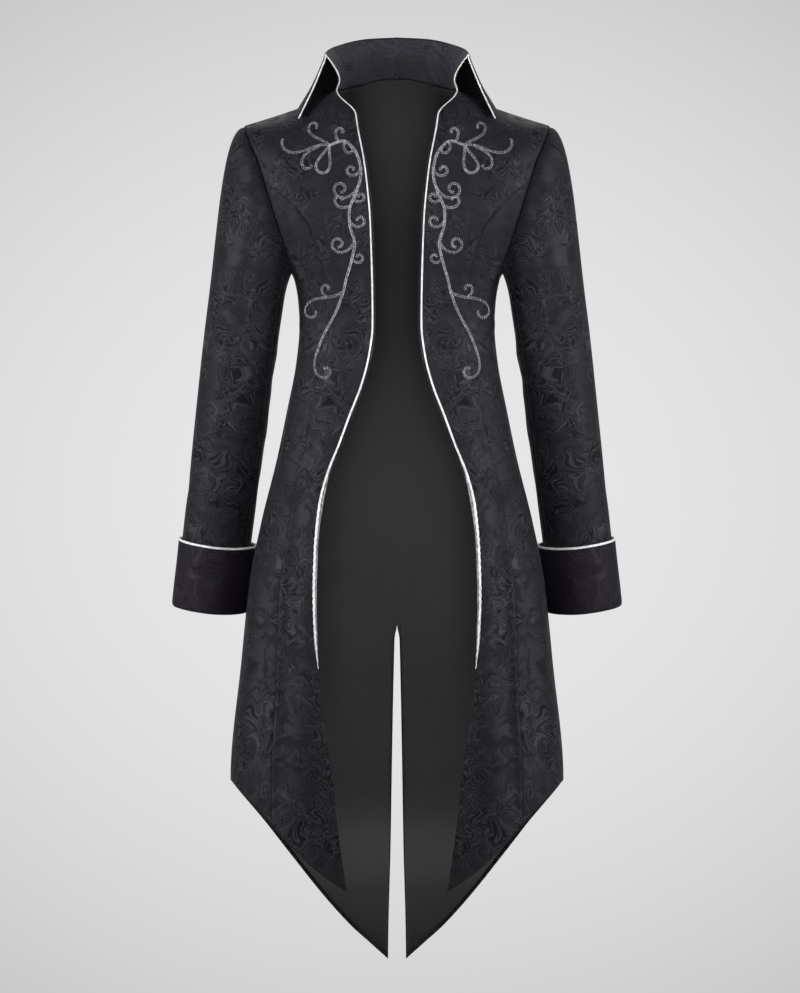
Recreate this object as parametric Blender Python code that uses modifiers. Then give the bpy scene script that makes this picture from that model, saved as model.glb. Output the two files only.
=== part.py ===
"""Long tail coat in its worn shape, hollow and open in front, with no wearer.

Metres, +Z up. The coat faces -Y, and the wearer's left is +X. The origin is between the shoulders, level
with the shoulder line at the neck. Sizes and tables are in millimetres, and become metres in the meshes.
"""

from math import asin, cos, pi, sin

import bmesh
import bpy
from mathutils import Vector

for old in list(bpy.data.objects):
    bpy.data.objects.remove(old, do_unlink=True)

MM = 0.001

# Cloth and seams
WALL = 2.0                # brocade with its interlining
LINING_WALL = 1.0
SEAM = 0.3                # each piece stops this far short of its seam line
PIPED_SEAM = 0.9          # the front's edge stops this far short of its piping
SLEEVE_SEAMS = (0.95, 0.95, 0.5)   # the same at a sleeve's two long seams and its armhole
BACK_SEAMS = (0.5, 0.3, 0.5)       # the same at the centre back, the side and the shoulder
LINING_DEPTH = 3.1        # lining's outer face, measured in from the back's outer face
LINING_SHARE = 0.9        # how far the lining reaches towards the side seam and the armhole
LINING_HEM = 6.0          # how far the lining stops above the hem
LINING_VENT = 1.5         # and beside the vent

# Levels: heights in mm. Above the chest a level is stretched, so that level 0 follows the shoulder line.
CHEST = -140.0
UNDERARM = -226.0
WAIST = -292.0
VENT_TOP = -680.0
ROUNDING = 2.2            # how the cloth rounds over the shoulder, 2 is a circle
SECTION_POWER = 2.3       # how full the horizontal sections are, 2 is an ellipse
TURN_STEP = 0.01          # step along a section for working out its slope

# Collar
NECK_HALF_WIDTH = 78.4
COLLAR_FOLD_CLEARANCE = 2.6   # the stand's top edge stops this far under the fold
NECK_SEAM = 1.5           # the stand starts this far above the back's neckline
COLLAR_END_STEP = 0.03    # share of the neck for working out the way its front edges face

# Piping radii
EDGE_PIPING = 1.9
WIDE_PIPING = 3.2
CUFF_PIPING = 2.0
PIPING_GAP = 0.3
COLLAR_PIPING_GAP = 0.9


class Table:
    """Named columns, one row for each section, read with a smooth curve through the rows."""

    def __init__(self, columns, rows):
        self.names = columns.split()
        self.rows = sorted(rows)

    def at(self, place, name):
        column = self.names.index(name)
        xs = [row[0] for row in self.rows]
        ys = [row[column] for row in self.rows]
        if place <= xs[0]:
            return ys[0]
        if place >= xs[-1]:
            return ys[-1]
        i = max(k for k in range(len(xs) - 1) if xs[k] <= place)
        gaps = [b - a for a, b in zip(xs, xs[1:])]
        rises = [(b - a) / gap for a, b, gap in zip(ys, ys[1:], gaps)]

        def slope(k):
            if k == 0:
                return rises[0]
            if k == len(xs) - 1:
                return rises[-1]
            if rises[k - 1] * rises[k] <= 0:
                return 0.0
            return (gaps[k - 1] + gaps[k]) / (gaps[k - 1] / rises[k - 1] + gaps[k] / rises[k])

        t = (place - xs[i]) / gaps[i]
        start, end = slope(i) * gaps[i], slope(i + 1) * gaps[i]
        return (
            ys[i] * (1 + 2 * t) * (1 - t) ** 2
            + start * t * (1 - t) ** 2
            + ys[i + 1] * t * t * (3 - 2 * t)
            - end * t * t * (1 - t)
        )


# The coat's horizontal sections, from the shoulder line to the tails
BODY = Table("level half_width front widest back", [
    (0, 214, -108, 0, 98),
    (-50, 207, -109, 0, 99),
    (-102, 197, -112, 0, 100),
    (-146, 183, -113, 0, 99),
    (-180, 167, -110, 0, 96),
    (-218, 141, -101, 0, 91),
    (-234, 131.5, -97, 0, 88),
    (-262, 126.5, -91, 0, 84),
    (-292, 124.8, -87, 0, 81),
    (-340, 129, -91, -1, 84),
    (-400, 140.5, -100, -4, 96),
    (-465, 154, -109, -9, 113),
    (-541, 173, -119, -15, 130),
    (-620, 188.5, -127, -19, 143),
    (-720, 199, -136, -21, 154),
    (-873, 213, -147, -22, 168),
    (-1110, 213, -158, -22, 184),
])

# Height of the shoulder ridge across the coat, and how far forward it lies near the neck
RIDGE = Table("x front back forward", [
    (0, 30, 97, 0),
    (24, 28, 80, 0),
    (50, 22, 55, -3),
    (70, 14, 21, -12),
    (78.4, 9, 9, -16),
    (100, -2, -2, -10),
    (125, -14, -14, -4),
    (160, -26, -26, 0),
    (196, -37, -37, 0),
    (230, -47, -47, 0),
])

# Front edge: the middle of the piping down to its end, then the bare edge to the front's point
FRONT_EDGE = Table("height x", [
    (9, 78.4), (1, 74), (-6, 67), (-14, 58), (-22, 53), (-42, 50), (-81, 42.5), (-119, 37.8), (-157, 34.6),
    (-234, 32), (-292, 31.4), (-330, 35.8), (-369, 45.8), (-407, 60.5), (-445, 74.5), (-484, 90.2),
    (-522, 99.5), (-580, 105), (-640, 106.5), (-695, 104.6), (-731, 101), (-780, 96.6), (-855, 84.5),
    (-934, 75.5), (-1015, 64),
])
PIPING_RADIUS = Table("height radius", [
    (9, EDGE_PIPING), (-480, EDGE_PIPING), (-530, WIDE_PIPING), (-690, WIDE_PIPING), (-731, 0.8),
])
PIPING_END = -731.0

ARMHOLE_FRONT = Table("height x", [
    (-37, 196), (-51, 192), (-83, 179), (-113, 170), (-146, 160), (-180, 148.5), (-218, 137),
])
ARMHOLE_BACK = Table("height x", [
    (-37, 196), (-55, 193), (-83, 184), (-113, 176), (-146, 166), (-185, 152), (-218, 138.5),
])
BUST_SEAM = Table("height x", [
    (-110, 171), (-124, 151.6), (-137, 137), (-149.5, 124.6), (-170, 111), (-200, 99), (-240, 90),
    (-292, 86), (-340, 91), (-400, 106), (-500, 130), (-600, 147), (-700, 153), (-800, 157), (-950, 160),
])
BUST_SEAM_TOP = -101.0    # level where the seam leaves the armhole

NECKLINE = Table("x height", [(0, 26), (24, 23), (50, 16), (70, 10.5), (78.4, 9)])
VENT = Table("height x", [
    (-1102, 11.5), (-1060, 10.9), (-964, 8.3), (-849, 6.4), (-772, 5), (-695, 3.2), (-680, 0.3),
])
FRONT_HEM = Table("x height", [(64, -1015), (98.6, -992), (137, -957), (163, -928), (190, -899), (213, -873)])
BACK_HEM = Table("x height", [
    (11, -1102), (38, -1079), (60, -1060), (95, -1021), (140, -964), (170, -925), (202, -887), (213, -873),
])

# Sleeve sections square to the arm, from the upper arm to the wrist
SLEEVE = Table("height x y half_width half_depth", [
    (-262, 193.3, 3, 47.8, 60),
    (-311, 200, 9, 47.2, 59),
    (-388, 209, 19, 46.0, 55),
    (-465, 218.3, 29, 45.0, 51.5),
    (-541, 227.8, 38, 44.2, 48.5),
    (-610, 236, 44, 43.6, 46.5),
    (-652, 241, 46.5, 43.2, 46),
])
SLEEVE_TILT = 0.125       # how far the sleeve leans out for each mm down
SLEEVE_LEAN = 0.11        # how far it leans back
ARM_AXIS = Vector((-SLEEVE_TILT, 0, 1))
SLEEVE_TOP = -262.0
SLEEVE_END = -646.0

# Sleeve cap: how it leaves the armhole, and how far above the arm's first ring it starts to hang straight
UNDERARM_EASE = 1.3       # how far outside the armhole's edge it starts at the underarm
CAP_LIFT = 20.0           # outwards on the shoulder
CAP_OUT = 7.0             # outwards all round
CAP_FORWARD = 9.0
CAP_DROP = 14.0           # down at the underarm
CAP_HANG = 8.0            # at the underarm
CAP_HANG_TOP = 92.0       # more on the shoulder

# Cuff rings: height of the ring's middle, and how far the cloth stands off the sleeve's section
CUFF = Table("place height stand_off", [
    (0, -573, 8.5), (1, -600, 8.2), (2, -628, 8.6), (3, -652.5, 8.4),
    (4, -656.5, 4.5), (5, -655, -2.5), (6, -646, -4.8), (7, -618, -4.8),
])

# Collar lines, from the centre back (0) to the front end (1)
STAND_MIDDLE = Table("place x y z", [
    (0, 0, 86, 50), (0.25, 33, 79.5, 48), (0.5, 60, 55, 41), (0.75, 75, 14, 33), (1, 74.2, -20, 26),
])
CROWN = Table("place x y z", [
    (0, 0, 92, 75.5), (0.25, 37, 85.5, 73.5), (0.5, 68, 61, 67), (0.75, 86, 21, 60), (1, 90.2, -25, 54.5),
])
LEAF_TOP = Table("place x y z", [
    (0, 0, 99, 70), (0.25, 39.5, 92, 68), (0.5, 73, 66, 61), (0.75, 92, 23, 53), (1, 95.5, -28, 45),
])
LEAF_MIDDLE = Table("place x y z", [
    (0, 0, 104, 43), (0.25, 43, 96.5, 41), (0.5, 80, 72, 34), (0.75, 105, 26, 24), (1, 108.5, -41, 13),
])
LEAF_EDGE = Table("place x y z", [
    (0, 0, 108, 10), (0.25, 47, 101, 8), (0.5, 89, 79, 1), (0.75, 121, 30, -6), (0.88, 126, -15, -8.5),
    (1, 127.5, -62, -27),
])

# Stations: where the cross seams and section lines fall
SHOULDER_LEVELS = [0, -2, -7, -14, -24, -40, -68, BUST_SEAM_TOP]
FRONT_SIDE_LEVELS = [BUST_SEAM_TOP, -143, -184, -236, WAIST]
SIDE_SEAM_LEVELS = [UNDERARM, -243, -259, -276, WAIST]
BACK_ARM_LEVELS = [0, -3, -12, -30, -56, -92, -132, -172, -204, UNDERARM]
SKIRT_ROWS = 18
FRONT_COLUMNS = 7
SIDE_COLUMNS = 6
CAP_SHARES = [0, 0.12, 0.3, 0.52, 0.76, 1.0]
ARM_ROWS = 9
COLLAR_COLUMNS = 10
NECK_COLUMNS = 5
SHOULDER_COLUMNS = 6
FRONT_SLEEVE_SEAM = 4     # columns from the bust seam's top to the front sleeve seam
BACK_SLEEVE_SEAM = 3      # columns from the underarm to the back sleeve seam
SEARCH_STEPS = 30         # rounds of a search for the place where two lines meet


def body_point(turn, level):
    """A point on the coat's outer face: turn is 0 at the centre front, pi/2 at the side, pi at the back."""
    behind = turn > pi / 2
    half_width = BODY.at(level, "half_width")
    widest = BODY.at(level, "widest")
    depth = BODY.at(level, "back" if behind else "front") - widest
    x = half_width * max(sin(turn), 0.0) ** (2 / SECTION_POWER)
    y = widest + depth * abs(cos(turn)) ** (2 / SECTION_POWER)
    if level <= CHEST:
        return Vector((x, y, level))
    rise = min(1 - level / CHEST, 1.0)
    ridge = RIDGE.at(x, "back" if behind else "front")
    y = y * (1 - rise ** ROUNDING) ** (1 / ROUNDING) + RIDGE.at(x, "forward") * rise ** 4
    return Vector((x, y, CHEST + rise * (ridge - CHEST)))


def moved_in(turn, level, distance):
    """The point of the outer face, moved square to it towards the inside."""
    turn = min(turn, pi - TURN_STEP)
    along = body_point(turn + TURN_STEP, level) - body_point(turn - TURN_STEP, level)
    down = body_point(turn, level - 1) - body_point(turn, level + 1)
    return body_point(turn, level) + along.cross(down).normalized() * distance


def place_on_body(x, height, behind=False):
    """The turn and level of the point seen at x and height from the front."""
    level = height
    if height > CHEST:
        ridge = RIDGE.at(x, "back" if behind else "front")
        level = CHEST * max(1 - (height - CHEST) / (ridge - CHEST), 0.0)
    share = min(x / BODY.at(level, "half_width"), 1.0)
    turn = asin(share ** (SECTION_POWER / 2))
    return (pi - turn if behind else turn), level


def line_on_body(table, behind=False, end=None):
    """A table of heights and x as a table of levels and turns."""
    rows = []
    for height, x in table.rows:
        turn, level = place_on_body(x, height, behind)
        rows.append((level, turn))
    if end:
        rows.append(end)
    return Table("level turn", rows)


def edge_point(height):
    turn, level = place_on_body(FRONT_EDGE.at(height, "x"), height)
    return body_point(turn, level)


def front_edge_x(height):
    """The cloth stops beside the piping, down to the piping's end."""
    x = FRONT_EDGE.at(height, "x")
    if height > PIPING_END:
        along = (edge_point(height) - edge_point(height - 1)).normalized()
        x += PIPING_RADIUS.at(height, "radius") / (1 - along.x ** 2) ** 0.5
    return x


SIDE = (UNDERARM, pi / 2)
front_edge_rows = [(height, front_edge_x(height)) for height, x in FRONT_EDGE.rows]
front_edge = line_on_body(Table("height x", front_edge_rows))
armhole_front = line_on_body(ARMHOLE_FRONT, end=SIDE)
armhole_back = line_on_body(ARMHOLE_BACK, behind=True, end=SIDE)
bust_seam = line_on_body(BUST_SEAM)
back_edge = line_on_body(VENT, behind=True)


def turn_between(inner, outer, share, level):
    return inner(level) * (1 - share) + outer(level) * share


def hem_level(hem, inner, outer, share):
    """The level where a column of the panel meets the hem."""
    level = hem.rows[0][1]
    for _ in range(SEARCH_STEPS):
        x = body_point(turn_between(inner, outer, share, level), level).x
        level = hem.at(x, "height")
    return level


def armhole_level(inner, outer, share):
    """The level where a column of the side front starts, on the armhole."""
    high, low = BUST_SEAM_TOP, UNDERARM
    for _ in range(SEARCH_STEPS):
        middle = (high + low) / 2
        if turn_between(inner, outer, share, middle) > armhole_front.at(middle, "turn"):
            high = middle
        else:
            low = middle
    return high


def spread(start, end, parts):
    return [start + (end - start) * k / parts for k in range(parts + 1)]


def stretched(levels, top, bottom):
    """The same spacing of levels, from another top to another bottom."""
    scale = (bottom - top) / (levels[-1] - levels[0])
    return [top + (level - levels[0]) * scale for level in levels]


def panel_column(inner, outer, share, levels, hem):
    skirt = spread(levels[-1], hem_level(hem, inner, outer, share), SKIRT_ROWS)[1:]
    return [body_point(turn_between(inner, outer, share, level), level) for level in levels + skirt]


def front_line(level):
    return front_edge.at(level, "turn")


def bust_line(level):
    if level > BUST_SEAM_TOP:
        return armhole_front.at(level, "turn")
    return bust_seam.at(level, "turn")


def side_line(level):
    return pi / 2


def back_line(level):
    if level > VENT_TOP:
        return pi
    return back_edge.at(level, "turn")


def back_outer_line(level):
    if level > UNDERARM:
        return armhole_back.at(level, "turn")
    return pi / 2


def front_points():
    levels = SHOULDER_LEVELS + FRONT_SIDE_LEVELS[1:]
    shares = spread(0, 1, FRONT_COLUMNS)
    return [panel_column(front_line, bust_line, share, levels, FRONT_HEM) for share in shares]


def side_front_points():
    columns = []
    for share in spread(0, 1, SIDE_COLUMNS):
        top = armhole_level(bust_line, side_line, share)
        levels = []
        for inner_level, outer_level in zip(FRONT_SIDE_LEVELS, SIDE_SEAM_LEVELS):
            levels.append(inner_level * (1 - share) + outer_level * share)
        levels = stretched(levels, top, WAIST)
        columns.append(panel_column(bust_line, side_line, share, levels, FRONT_HEM))
    return columns


def neck_place(place):
    """A point of the back neckline as turn and level, from the centre back (0) to the shoulder (1)."""
    x = NECK_HALF_WIDTH * sin(place * pi / 2)
    return place_on_body(x, NECKLINE.at(x, "height"), behind=True)


def back_shares():
    """The back's columns: each one's share of the width and the level of its top end."""
    columns = []
    for place in spread(0, 1, NECK_COLUMNS):
        turn, level = neck_place(place)
        share = (pi - turn) / (pi - back_outer_line(level))
        columns.append((share, level))
    neck_share = columns[-1][0]
    for share in spread(neck_share, 1, SHOULDER_COLUMNS)[1:]:
        columns.append((share, 0.0))
    return columns


def back_levels(top):
    return stretched(BACK_ARM_LEVELS, top, UNDERARM) + SIDE_SEAM_LEVELS[1:]


def back_points():
    columns = []
    for share, top in back_shares():
        columns.append(panel_column(back_line, back_outer_line, share, back_levels(top), BACK_HEM))
    return columns


def pulled(points, left=SEAM, right=SEAM, top=SEAM):
    """The same grid, with its edges drawn in to leave the seams open by a hair. The hem stays."""

    def drawn(edge, neighbour, distance):
        return [a + (b - a).normalized() * distance for a, b in zip(edge, neighbour)]

    columns = [list(column) for column in points]
    columns[0] = drawn(columns[0], columns[1], left)
    columns[-1] = drawn(columns[-1], columns[-2], right)
    for column in columns:
        column[0] += (column[1] - column[0]).normalized() * top
    return columns


def mirrored(points, side):
    return [[Vector((p.x * side, p.y, p.z)) for p in column] for column in points]


def cloth(name, points, material, thickness=WALL, side=1, closed=False, mirror=False, turned=False):
    """A wall of cloth on a grid of points, given as columns, each from top to bottom."""
    mesh = bpy.data.meshes.new(name)
    sheet = bmesh.new()
    grid = [[sheet.verts.new(p * MM) for p in column] for column in mirrored(points, side)]
    pairs = list(zip(grid, grid[1:]))
    if closed:
        pairs.append((grid[-1], grid[0]))
    for left, right in pairs:
        for row in range(len(left) - 1):
            corners = [left[row], left[row + 1], right[row + 1], right[row]]
            if (side < 0) != turned:
                corners[1:] = corners[:0:-1]
            sheet.faces.new(corners)
    sheet.to_mesh(mesh)
    sheet.free()
    mesh.shade_smooth()
    mesh.materials.append(material)
    piece = bpy.data.objects.new(name, mesh)
    coat.objects.link(piece)
    if mirror:
        half = piece.modifiers.new("other half", "MIRROR")
        half.use_axis = (True, False, False)
        half.merge_threshold = 0.0001
    wall = piece.modifiers.new("cloth thickness", "SOLIDIFY")
    wall.thickness = thickness * MM
    wall.offset = -1.0
    wall.use_even_offset = False
    return piece


def piping(name, path, radii, material, side=1, cyclic=False):
    """A covered cord along a path."""
    curve = bpy.data.curves.new(name, "CURVE")
    curve.dimensions = "3D"
    curve.bevel_depth = MM
    curve.bevel_resolution = 2
    curve.use_fill_caps = not cyclic
    spline = curve.splines.new("POLY")
    spline.points.add(len(path) - 1)
    spline.use_cyclic_u = cyclic
    for point, place, radius in zip(spline.points, path, radii):
        point.co = (place.x * side * MM, place.y * MM, place.z * MM, 1.0)
        point.radius = radius
    curve.materials.append(material)
    cord = bpy.data.objects.new(name, curve)
    coat.objects.link(cord)
    return cord


def finish(name, colour, roughness):
    material = bpy.data.materials.new(name)
    material.use_nodes = True
    shader = material.node_tree.nodes["Principled BSDF"]
    shader.inputs["Base Color"].default_value = (*colour, 1.0)
    shader.inputs["Roughness"].default_value = roughness
    shader.inputs["Metallic"].default_value = 0.0
    return material


coat = bpy.data.collections.new("tail_coat")
bpy.context.scene.collection.children.link(coat)

brocade = finish("black_brocade", (0.024, 0.022, 0.027), 0.55)
cuff_brocade = finish("cuff_brocade", (0.014, 0.012, 0.018), 0.6)
lining_cloth = finish("charcoal_lining", (0.03, 0.03, 0.03), 0.8)
white_satin = finish("white_satin", (0.75, 0.75, 0.75), 0.4)

# Fronts, side fronts and backs
fronts = front_points()
side_fronts = side_front_points()
backs = back_points()


def lining_points():
    """The back's own points, moved in. Below the waist every second row is enough."""
    columns = []
    places = back_shares()
    for share, top in places[:-1] + [(LINING_SHARE, 0.0)]:
        levels = back_levels(top)[1:]
        hem = hem_level(BACK_HEM, back_line, back_outer_line, share) + LINING_HEM
        skirt = spread(levels[-1], hem, SKIRT_ROWS)
        levels += skirt[1:5] + skirt[6::2]
        column = []
        for level in levels:
            turn = turn_between(back_line, back_outer_line, share, level)
            point = moved_in(turn, level, LINING_DEPTH)
            if share == 0:
                point.x = VENT.at(level, "x") + LINING_VENT if level < VENT_TOP else 0.0
            column.append(point)
        columns.append(column)
    return columns


# Sleeve: the armhole's own points, then rings square to the arm
def armhole_loop():
    front_arm = fronts[-1][:len(SHOULDER_LEVELS)]
    side_arm = [column[0] for column in side_fronts[1:]]
    back_arm = list(reversed(backs[-1][:len(BACK_ARM_LEVELS) - 1]))
    return front_arm + side_arm + back_arm


def loop_angles(loop):
    """Each point's angle round the sleeve: 0 on the shoulder, pi at the underarm, 2 pi at the shoulder."""
    underarm = len(SHOULDER_LEVELS) - 1 + SIDE_COLUMNS
    lengths = [0.0]
    for a, b in zip(loop, loop[1:]):
        lengths.append(lengths[-1] + (b - a).length)
    half, whole = lengths[underarm], lengths[-1]
    angles = []
    for length in lengths:
        if length <= half:
            angles.append(pi * length / half)
        else:
            angles.append(pi + pi * (length - half) / (whole - half))
    return angles


def sleeve_ring_point(height, angle, stand_off=0.0):
    """A point of the ring whose middle is at a height: angle 0 outside, pi/2 in front."""
    across = (SLEEVE.at(height, "half_width") + stand_off) * cos(angle)
    forward = (SLEEVE.at(height, "half_depth") + stand_off) * sin(angle)
    x = SLEEVE.at(height, "x") + across
    drop = across * SLEEVE_TILT - forward * SLEEVE_LEAN
    return Vector((x, SLEEVE.at(height, "y") - forward, height + drop))


def cap_point(start, angle, share):
    """The sleeve cap leaves the armhole outwards and turns down into the arm."""
    end = sleeve_ring_point(SLEEVE_TOP, angle)
    top = (1 + cos(angle)) / 2
    start = start + Vector((UNDERARM_EASE * (1 - top), 0, 0))
    away = Vector((CAP_LIFT * top + CAP_OUT, -CAP_FORWARD * sin(angle), -CAP_DROP * (1 - top)))
    up = ARM_AXIS * (CAP_HANG + CAP_HANG_TOP * top ** 1.2)
    first, last = start + away, end + up
    rest = 1 - share
    return (
        start * rest ** 3
        + first * (3 * share * rest ** 2)
        + last * (3 * share ** 2 * rest)
        + end * share ** 3
    )


def sleeve_points():
    loop = armhole_loop()
    columns = []
    for start, angle in zip(loop, loop_angles(loop)):
        column = [cap_point(start, angle, share) for share in CAP_SHARES]
        for height in spread(SLEEVE_TOP, SLEEVE_END, ARM_ROWS)[1:]:
            column.append(sleeve_ring_point(height, angle))
        columns.append(column)
    return columns + [columns[0]]


def cuff_ring(place, angle):
    stand_off = CUFF.at(place, "stand_off")
    return sleeve_ring_point(CUFF.at(place, "height"), angle, stand_off)


CUFF_ANGLES = loop_angles(armhole_loop())
cuff_points = [[cuff_ring(row[0], angle) for row in CUFF.rows] for angle in CUFF_ANGLES]


# Collar: lines along the neck, read at the same places
def on_line(line, place):
    return Vector((line.at(place, "x"), line.at(place, "y"), line.at(place, "z")))


def neck_point(place):
    """The stand starts on the back's wall."""
    turn, level = neck_place(place)
    return moved_in(turn, level, WALL) + Vector((0, 0, NECK_SEAM))


def smooth_through(stops, parts):
    """Points on a smooth curve through the stops, with an even number between each two."""
    points = []
    for k in range(len(stops) - 1):
        before = stops[k - 1] if k else stops[0] * 2 - stops[1]
        after = stops[k + 2] if k + 2 < len(stops) else stops[-1] * 2 - stops[-2]
        a, b = stops[k], stops[k + 1]
        for t in spread(0, 1, parts)[:-1]:
            start, end = (b - before) / 2, (after - a) / 2
            points.append(
                a * ((1 + 2 * t) * (1 - t) ** 2)
                + start * (t * (1 - t) ** 2)
                + b * (t * t * (3 - 2 * t))
                - end * (t * t * (1 - t))
            )
    return points + [stops[-1]]


def stand_column(place):
    return smooth_through([neck_point(place), on_line(STAND_MIDDLE, place), on_line(CROWN, place)], 2)


def leaf_column(place):
    stops = [on_line(line, place) for line in (CROWN, LEAF_TOP, LEAF_MIDDLE, LEAF_EDGE)]
    return smooth_through(stops, 2)


def across_neck(column_at):
    """The columns of a whole collar, from the right front end round the back to the left one."""
    half = [column_at(place) for place in spread(0, 1, COLLAR_COLUMNS)]
    return mirrored(half[:0:-1], -1) + half


def collar_piping_path():
    """Up the stand's front edge, over the fold and down the leaf's front edge."""
    path = []
    for column_at in (stand_column, leaf_column):
        end, before = column_at(1.0), column_at(1.0 - COLLAR_END_STEP)
        gap = EDGE_PIPING + COLLAR_PIPING_GAP
        path.append([a + (a - b).normalized() * gap for a, b in zip(end, before)])
    return path[0][:-1] + path[1]


def front_piping_path():
    """The piping follows the cloth's own rows down the front edge."""
    heights = [point.z for point in fronts[0] if point.z > PIPING_END] + [PIPING_END]
    path, radii = [], []
    for height in heights:
        turn, level = place_on_body(FRONT_EDGE.at(height, "x"), height)
        path.append(moved_in(turn, level, WALL / 2))
        radii.append(PIPING_RADIUS.at(height, "radius"))
    return path, radii


stand_points = [list(reversed(column)) for column in across_neck(stand_column)]
leaf_points = across_neck(leaf_column)
sleeves = sleeve_points()
front_seam = len(SHOULDER_LEVELS) - 1 + FRONT_SLEEVE_SEAM
back_seam = len(SHOULDER_LEVELS) - 1 + SIDE_COLUMNS + BACK_SLEEVE_SEAM
top_sleeve = sleeves[back_seam:-1] + sleeves[:front_seam + 1]
under_sleeve = sleeves[front_seam:back_seam + 1]

edge_path, edge_radii = front_piping_path()
collar_path = collar_piping_path()
whole_path = list(reversed(collar_path)) + edge_path
whole_radii = [EDGE_PIPING] * len(collar_path) + edge_radii
cuff_radii = [CUFF_PIPING] * len(CUFF_ANGLES)
cuff_piping_path = []
for angle in CUFF_ANGLES:
    cuff_edge = cuff_ring(0, angle)
    inward = (cuff_ring(0, angle + pi) - cuff_edge).normalized()
    lift = ARM_AXIS * (CUFF_PIPING + PIPING_GAP)
    cuff_piping_path.append(cuff_edge + lift + inward * (WALL / 2))

for side, hand in ((1, "left"), (-1, "right")):
    cloth(f"front_{hand}", pulled(fronts, left=PIPED_SEAM), brocade, side=side)
    cloth(f"side_front_{hand}", pulled(side_fronts), brocade, side=side)
    cloth(f"back_{hand}", pulled(backs, *BACK_SEAMS), brocade, side=side, turned=True)
    cloth(f"top_sleeve_{hand}", pulled(top_sleeve, *SLEEVE_SEAMS), brocade, side=side, turned=True)
    cloth(f"under_sleeve_{hand}", pulled(under_sleeve, *SLEEVE_SEAMS), brocade, side=side, turned=True)
    cloth(f"cuff_{hand}", cuff_points, cuff_brocade, side=side, closed=True, turned=True)
    piping(f"piping_{hand}", whole_path, whole_radii, white_satin, side)
    piping(f"cuff_piping_{hand}", cuff_piping_path, cuff_radii, white_satin, side, True)

cloth("lining_back", lining_points(), lining_cloth, LINING_WALL, mirror=True, turned=True)
cloth("collar_stand", pulled(stand_points, 0, 0, COLLAR_FOLD_CLEARANCE), brocade, turned=True)
cloth("collar_leaf", pulled(leaf_points, 0, 0, 0), brocade)
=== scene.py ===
"""Looks of a long tail coat: its cloth pieces, trims and chest embroidery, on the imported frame.

Metres, +Z up. The coat faces -Y and the wearer's left is +X. Tables and cloth sizes are in millimetres,
and a piece is worked out for the wearer's left, then mirrored for the right.
"""

from bisect import bisect_right
from functools import cache
from math import asin, cos, exp, pi, radians, sin

import bmesh
import bpy
from mathutils import Matrix, Vector
from mathutils.bvhtree import BVHTree


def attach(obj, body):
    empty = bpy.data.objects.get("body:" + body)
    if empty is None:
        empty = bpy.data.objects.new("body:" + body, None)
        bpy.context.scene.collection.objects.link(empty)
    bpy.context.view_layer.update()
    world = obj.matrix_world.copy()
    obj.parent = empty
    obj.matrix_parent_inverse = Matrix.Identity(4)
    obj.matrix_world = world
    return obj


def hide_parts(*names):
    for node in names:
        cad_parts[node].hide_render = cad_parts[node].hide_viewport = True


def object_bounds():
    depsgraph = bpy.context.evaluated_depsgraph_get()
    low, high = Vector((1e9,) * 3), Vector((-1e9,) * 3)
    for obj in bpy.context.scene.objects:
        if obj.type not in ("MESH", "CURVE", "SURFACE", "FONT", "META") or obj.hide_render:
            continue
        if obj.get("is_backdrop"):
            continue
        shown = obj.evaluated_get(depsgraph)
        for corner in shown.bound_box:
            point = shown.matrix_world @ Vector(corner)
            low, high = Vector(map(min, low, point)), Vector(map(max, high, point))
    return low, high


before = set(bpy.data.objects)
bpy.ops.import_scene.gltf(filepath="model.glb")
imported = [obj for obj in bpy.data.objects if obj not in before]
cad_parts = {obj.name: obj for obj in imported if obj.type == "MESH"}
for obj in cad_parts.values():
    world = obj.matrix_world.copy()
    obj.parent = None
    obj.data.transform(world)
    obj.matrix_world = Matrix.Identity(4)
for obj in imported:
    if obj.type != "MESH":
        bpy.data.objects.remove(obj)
cad_box = [list(corner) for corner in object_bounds()]

MM = 0.001

# ---- The picture ------------------------------------------------------------------------------------------
# The coat fills a frame of 800 by 993 pixels at 1.28 mm a pixel. It is seen by a very long lens, level with
# the elbows, in front of a sweep of paper that glows, with a painted pool of light brightest in the middle.
FRAME_HEIGHT = 993 * 1.28 * MM
CAMERA_DISTANCE, FILM_WIDTH = 30.0, 36.0
PICTURE_CENTRE = Vector((0.00384, 0.0, -0.51136))


def placed(name, data):
    """An object of the scene that holds a mesh, a curve, a lamp or the camera."""
    thing = bpy.data.objects.new(name, data)
    bpy.context.scene.collection.objects.link(thing)
    return thing


camera_data = bpy.data.cameras.new("camera")
camera_data.sensor_width = FILM_WIDTH
camera_data.lens = FILM_WIDTH * CAMERA_DISTANCE / FRAME_HEIGHT
camera = placed("camera", camera_data)
camera.location = PICTURE_CENTRE + Vector((0, -CAMERA_DISTANCE, 0))
camera.rotation_euler = (pi / 2, 0, 0)
bpy.context.scene.camera = camera
bpy.context.scene.view_settings.view_transform = "Standard"


def new_material(name):
    material = bpy.data.materials.new(name)
    material.use_nodes = True
    material.node_tree.nodes.clear()
    return material, material.node_tree


def node(tree, kind, *inputs, named=None, **settings):
    """A node of a material. Inputs are values or other nodes' sockets, in order, and None leaves one alone.
    Named are further inputs, by their names."""
    made = tree.nodes.new(kind)
    for name, value in settings.items():
        setattr(made, name, value)
    by_name = [(made.inputs[name], value) for name, value in (named or {}).items()]
    for socket, value in [*zip(made.inputs, inputs), *by_name]:
        if isinstance(value, bpy.types.NodeSocket):
            tree.links.new(value, socket)
        elif value is not None:
            socket.default_value = value
    return made


def maths(tree, operation, *inputs):
    return node(tree, "ShaderNodeMath", *inputs, operation=operation).outputs[0]


FLOOR_LEVEL, FLOOR_REACH = -1.45, 25.0
BACKDROP_PLACE, BACKDROP_REACH = 3.0, 3.0
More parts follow.
